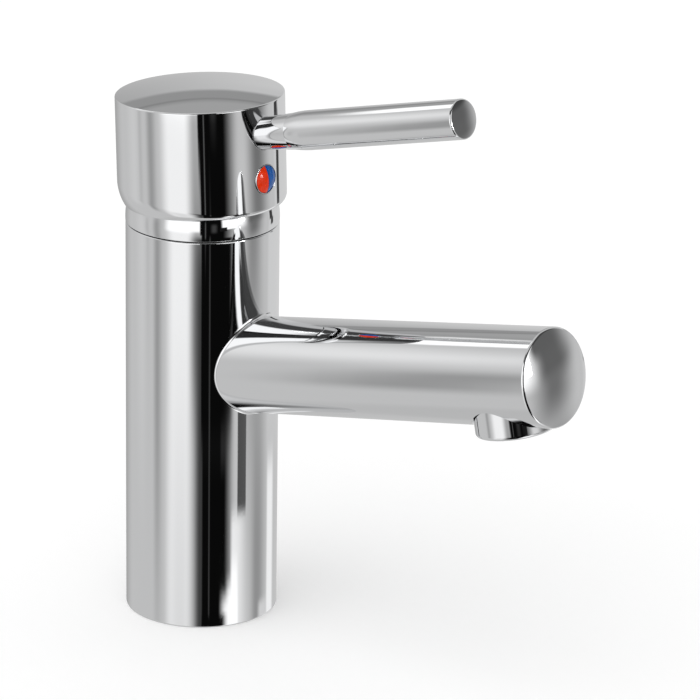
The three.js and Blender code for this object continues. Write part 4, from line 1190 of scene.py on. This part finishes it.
# The tent that the metal mirrors: soft-edged cards hung one over another round the mixer. Directions
# are in degrees, seen from the tent's middle: azimuth from the camera's side, positive to its right,
# and elevation. A level of 1 is white paper; the brightest card is a lamp.
# name, (left, right), (bottom, top), soft edges (left, right, bottom and top), level
TENT_CARDS = (
    ("floor paper", (-180, 180), (-90, -64), (1, 1, 6), 0.52),
    ("left corner", (-172, -142), (-50, 40), (14, 18, 14), 0.40),
    ("left glow", (-108, -92), (-24, 2), (12, 8, 8), 0.64),
    ("upper left glow", (-112, -76), (16, 41), (12, 14, 12), 0.84),
    ("left pole", (-88, -84), (-16, 0), (4, 4, 6), 0.47),
    ("left stand", (-73, -62), (-30, 8), (5, 6, 10), 0.345),
    ("left box", (-48.5, -4), (-54, 56), (9, 6, 5), 0.98),
    ("left box, bare", (-51, -2.2), (-6, 56), (7, 1, 3), 1.2),
    ("left box, low", (-46, -16), (-58, -24), (14, 12, 9), 0.78),
    ("shade beside the flag", (-13, 3), (-22, -4), (7, 1, 3), 0.45),
    ("shade by the flag", (-11.5, 30), (-58, -12), (11.5, 2, 6), 0.05),
    ("flag, low", (2.5, 45), (-60, -20), (1.4, 10, 6), 0.003),
    ("flag, middle", (0.5, 43), (-24, -2), (1, 12, 1.5), 0.003),
    ("flag, foot", (2, 47), (-23, -13.5), (1.2, 6, 1.5), 0.003),
    ("flag", (-1.5, 29.5), (-9, 50), (1, 1.5, 2), 0.003),
    ("gleam on the flag", (12, 13.5), (-60, -12), (1, 1, 5), 0.05),
    ("second gleam", (5.6, 6.8), (-14, 10), (0.8, 0.8, 3), 0.10),
    ("third gleam", (15, 22), (-5, 6), (3, 3, 3), 0.05),
    ("right box", (31, 54), (-1.8, 38), (1.5, 4, 0.7), 1.2),
    ("flag, corner", (27, 37.5), (-4, 1.2), (1, 0.8, 0.6), 0.01),
    ("flag, top", (-12, 16.5), (25, 60), (3.5, 1.5, 3), 0.03),
    ("right box, top", (23, 54), (16, 40), (1.5, 4, 2), 1.2),
    ("right box, side", (48, 69), (-1, 36), (4, 9, 5), 1.2),
    ("above the left box", (-70, -12), (41, 60), (8, 4, 4), 0.16),
    ("above the boxes", (-14, 66), (37.3, 60), (4, 4, 1.3), 0.045),
    ("right glow", (51, 64), (-27, -7.5), (8, 8, 2), 0.60),
    ("right box, low", (47, 66), (-58, -27.4), (3, 14, 0.7), 0.92),
    ("right box, foot", (47.5, 57), (-58, -29.6), (2.5, 3, 0.8), 1.15),
    ("right box, toe", (41, 57), (-58, -30.6), (4.5, 3, 0.8), 1.15),
    ("right box, tip", (33, 57), (-58, -31.2), (6, 3, 0.7), 1.15),
    ("flag, heel", (2.5, 38), (-58, -31.85), (1.4, 6, 0.15), 0.003),
    ("slot", (56.5, 71), (-27.35, -20), (0.8, 0.8, 0.4), 0.085),
    ("right shade", (69.5, 95.5), (-20, 9), (11, 13, 15), 0.17),
    ("right shade, low", (84, 107), (-44, -22), (8, 12, 8), 0.31),
    ("pale foot", (98, 118), (-58, -31.95), (5, 5, 0.3), 0.68),
    ("right shade, high", (72.5, 101), (-1, 40), (6, 13, 5), 0.13),
    ("right shade, wedge", (69.5, 94), (11, 30), (3, 10, 4), 0.12),
    ("upper right shade", (61, 103), (19, 60), (4, 6, 2), 0.06),
    ("lamp", (58, 65.3), (6, 14), (2, 1.2, 2), 22.0),
    ("rear strip", (118, 137), (-56, -25.6), (3, 5, 1.2), 0.95),
    ("rear glow", (116, 172), (-24, 20), (4, 14, 4), 0.66),
    ("rear pole", (121.5, 128.5), (-12.5, -7.6), (0.9, 1.2, 1), 0.05),
    ("rear pole, top", (117.8, 126), (-8.2, 14), (0.9, 1.2, 0.8), 0.05),
    ("rear shelf", (150, 214), (27.2, 60), (8, 12, 1.6), 0.31),
    ("rear shelf, edge", (150, 214), (34.7, 35.7), (8, 8, 0.8), 0.24),
    ("rear shelf, top", (150, 206), (37.4, 60), (8, 8, 1.6), 0.38),
    ("top box", (-147, -117), (44.5, 84), (5, 3, 1.5), 1.2),
)


def card_group():
    """A soft-edged card on the tent, as a mask from the direction that it is seen in."""
    sizes = dict.fromkeys(("Azimuth", "Elevation", "Middle", "Half width", "Bottom", "Top"), 0.0)
    softness = dict.fromkeys(("Left edge", "Right edge", "Level edges"), 5.0)
    group, given, end = new_group("tent card", {**sizes, **softness}, ["Mask"])
    offset = maths(group, "WRAP", maths(group, "SUBTRACT", given["Azimuth"], given["Middle"]),
                   180.0, -180.0)
    mask = 1.0
    for operation, first, second, edge in (
        ("ADD", given["Half width"], offset, "Left edge"),
        ("SUBTRACT", given["Half width"], offset, "Right edge"),
        ("SUBTRACT", given["Elevation"], given["Bottom"], "Level edges"),
        ("SUBTRACT", given["Top"], given["Elevation"], "Level edges"),
    ):
        inside = maths(group, "DIVIDE", maths(group, operation, first, second), given[edge])
        ramp = put(group, "ShaderNodeMapRange", {"interpolation_type": "SMOOTHSTEP"},
                   Value=inside, From_Min=-1.0, From_Max=1.0)
        mask = maths(group, "MULTIPLY", mask, ramp.outputs[0])
    feed(group, end, Mask=mask)
    return group


def tent_material():
    """A glow that lays the cards over the tent's wall, one after another."""
    material = bpy.data.materials.new("light tent")
    tree, glow = blank_tree(material, "ShaderNodeEmission")
    axes = put(tree, "ShaderNodeSeparateXYZ", Vector=object_place(tree)).outputs

    def degrees(rise, run):
        return maths(tree, "MULTIPLY", maths(tree, "ARCTAN2", rise, run), 180 / math.pi)

    azimuth = degrees(axes["X"], maths(tree, "MULTIPLY", axes["Y"], -1.0))
    squares = (maths(tree, "POWER", axes[name], 2.0) for name in "XY")
    elevation = degrees(axes["Z"], maths(tree, "SQRT", maths(tree, "ADD", *squares)))
    group = card_group()
    level = TENT_WALL
    for name, (left, right), (bottom, top), soft, card_level in TENT_CARDS:
        card = put(tree, "ShaderNodeGroup", {"node_tree": group, "label": name},
                   Azimuth=azimuth, Elevation=elevation, Middle=(left + right) / 2,
                   Half_width=(right - left) / 2, Bottom=bottom, Top=top,
                   Left_edge=soft[0], Right_edge=soft[1], Level_edges=soft[2])
        level = put(tree, "ShaderNodeMix", {"data_type": "FLOAT"}, in_0=card.outputs[0], in_2=level,
                    in_3=card_level).outputs[0]
    feed(tree, glow, Color=level, Strength=1.0)
    return material


def seen_or_mirrored(tree):
    """1 for rays from the camera and rays off metal or glass, and 0 for light on matt surfaces."""
    rays = put(tree, "ShaderNodeLightPath").outputs
    either = maths(tree, "MAXIMUM", rays["Is Camera Ray"], rays["Is Glossy Ray"])
    return maths(tree, "MAXIMUM", either, rays["Is Transmission Ray"])


def floor_material(studio):
    """A pale matt floor that the camera sees as white."""
    material = bpy.data.materials.new("pale floor")
    tree, shader = blank_tree(material)
    mottle = spread(tree, noise(tree, object_place(tree), 3.0), 0.3, 0.7)
    lift = 1 - studio.floor_colour[0] + studio.floor_glow
    feed(tree, shader, Roughness=0.9, Specular_IOR_Level=0.0, Emission_Color=(1, 1, 1, 1),
         Base_Color=tinted(tree, studio.floor_colour, 0.01, mottle),
         Emission_Strength=maths(tree, "MULTIPLY", seen_or_mirrored(tree), lift))
    return material


class MIXER_OT_stage(Operator):
    """Sets up the floor, the light tent, the world, the key light and the camera"""
    bl_idname = "mixer.stage"
    bl_label = "Studio"

    TENT_STEPS = 48         # faces round the tent, with half as many from its top to its foot
    KEY_TILT = (25, -20)    # degrees that the key light leans about its own X and Y
    SENSOR_WIDTH = 36       # millimetres
    FAR_CLIP = 100          # metres

    def execute(self, context):
        scene = context.scene
        studio = scene.mixer_studio
        self.floor(studio)
        self.tent(studio)
        self.world(scene, studio)
        self.key(studio)
        self.camera(scene, studio)
        scene.view_settings.view_transform = "Standard"
        return {"FINISHED"}

    @staticmethod
    def floor(studio):
        mesh = bpy.data.meshes.new("floor")
        half = studio.floor_size / 2
        mesh.from_pydata([(-half, -half, 0), (half, -half, 0), (half, half, 0), (-half, half, 0)], [],
                         [(0, 1, 2, 3)])
        mesh.materials.append(floor_material(studio))
        floor = linked("floor", mesh)
        floor.visible_glossy = False    # the metal mirrors the tent, as if it stood on clear glass

    def tent(self, studio):
        skin = Skin()
        skin.turn(Matrix(), bend((0, 0), studio.tent_radius, QUARTER, -QUARTER, self.TENT_STEPS // 2),
                  round_angles(self.TENT_STEPS))
        mesh = bpy.data.meshes.new("light_tent")
        mesh.from_pydata(skin.points, [], skin.faces)
        mesh.materials.append(tent_material())
        tent = linked("light_tent", mesh)
        tent.location = (0, 0, studio.tent_height)
        tent.rotation_euler.z = studio.azimuth
        tent.visible_camera = False
        tent.visible_diffuse = False
        tent.visible_shadow = False
        tent.visible_transmission = False
        tent.visible_volume_scatter = False

    @staticmethod
    def world(scene, studio):
        world = bpy.data.worlds.new("studio")
        tree, glow = blank_tree(world, "ShaderNodeBackground", "ShaderNodeOutputWorld")
        level = maths(tree, "MAXIMUM", seen_or_mirrored(tree), studio.fill)
        feed(tree, glow, Color=(1, 1, 1, 1), Strength=level)
        scene.world = world

    def key(self, studio):
        lamp = bpy.data.lights.new("key_light", "SUN")
        lamp.energy = studio.key
        lamp.angle = studio.key_softness
        key = linked("key_light", lamp)
        key.rotation_euler = (*map(math.radians, self.KEY_TILT), studio.azimuth)
        key.visible_glossy = False

    def camera(self, scene, studio):
        data = bpy.data.cameras.new("camera")
        data.lens = studio.lens
        data.sensor_width = self.SENSOR_WIDTH
        data.clip_end = self.FAR_CLIP
        turn, tip, roll = studio.azimuth, studio.elevation, studio.roll
        back = Vector((math.sin(turn) * math.cos(tip), -math.cos(turn) * math.cos(tip), math.sin(tip)))
        level = Vector((math.cos(turn), math.sin(turn), 0))
        right = level * math.cos(roll) + back.cross(level) * math.sin(roll)
        axes = Matrix((right, back.cross(right), back)).transposed().to_4x4()
        camera = linked("camera", data)
        camera.matrix_world = Matrix.Translation(Vector(studio.aim) + back * studio.distance) @ axes
        scene.camera = camera


# ---- Add-on ----

OPERATORS = (
    MIXER_OT_cartridge,
    MIXER_OT_body,
    MIXER_OT_collar,
    MIXER_OT_aerator,
    MIXER_OT_head,
    MIXER_OT_lever,
    MIXER_OT_index,
    MIXER_OT_stage,
)


class MIXER_PT_panel(Panel):
    """Lists the pieces of the mixer and their sizes"""
    bl_idname = "MIXER_PT_panel"
    bl_label = "Basin Mixer"
    bl_space_type = "VIEW_3D"
    bl_region_type = "UI"
    bl_category = "Mixer"

    def draw(self, context):
        layout = self.layout
        for operator in OPERATORS:
            layout.operator(operator.bl_idname)
        for name, group in SETTINGS.items():
            box = layout.box()
            box.label(text=group.__name__)
            for field in group.__annotations__:
                box.prop(getattr(context.scene, name), field)


def register():
    for group in SETTINGS.values():
        bpy.utils.register_class(group)
    for name, group in SETTINGS.items():
        setattr(bpy.types.Scene, name, PointerProperty(type=group))
    for operator in OPERATORS:
        bpy.utils.register_class(operator)
    bpy.utils.register_class(MIXER_PT_panel)


def unregister():
    bpy.utils.unregister_class(MIXER_PT_panel)
    for operator in reversed(OPERATORS):
        bpy.utils.unregister_class(operator)
    for name in reversed(SETTINGS):
        delattr(bpy.types.Scene, name)
    for group in reversed(SETTINGS.values()):
        bpy.utils.unregister_class(group)


def corners(bounds):
    return [list(corner) for corner in bounds]


def main():
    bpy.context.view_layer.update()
    register()
    bpy.ops.mixer.cartridge()
    bpy.ops.mixer.body()
    bpy.ops.mixer.collar()
    bpy.ops.mixer.aerator()
    bpy.ops.mixer.head()
    bpy.ops.mixer.lever()
    bpy.ops.mixer.index()
    bpy.ops.mixer.stage()


if __name__ == "__main__":
    main()
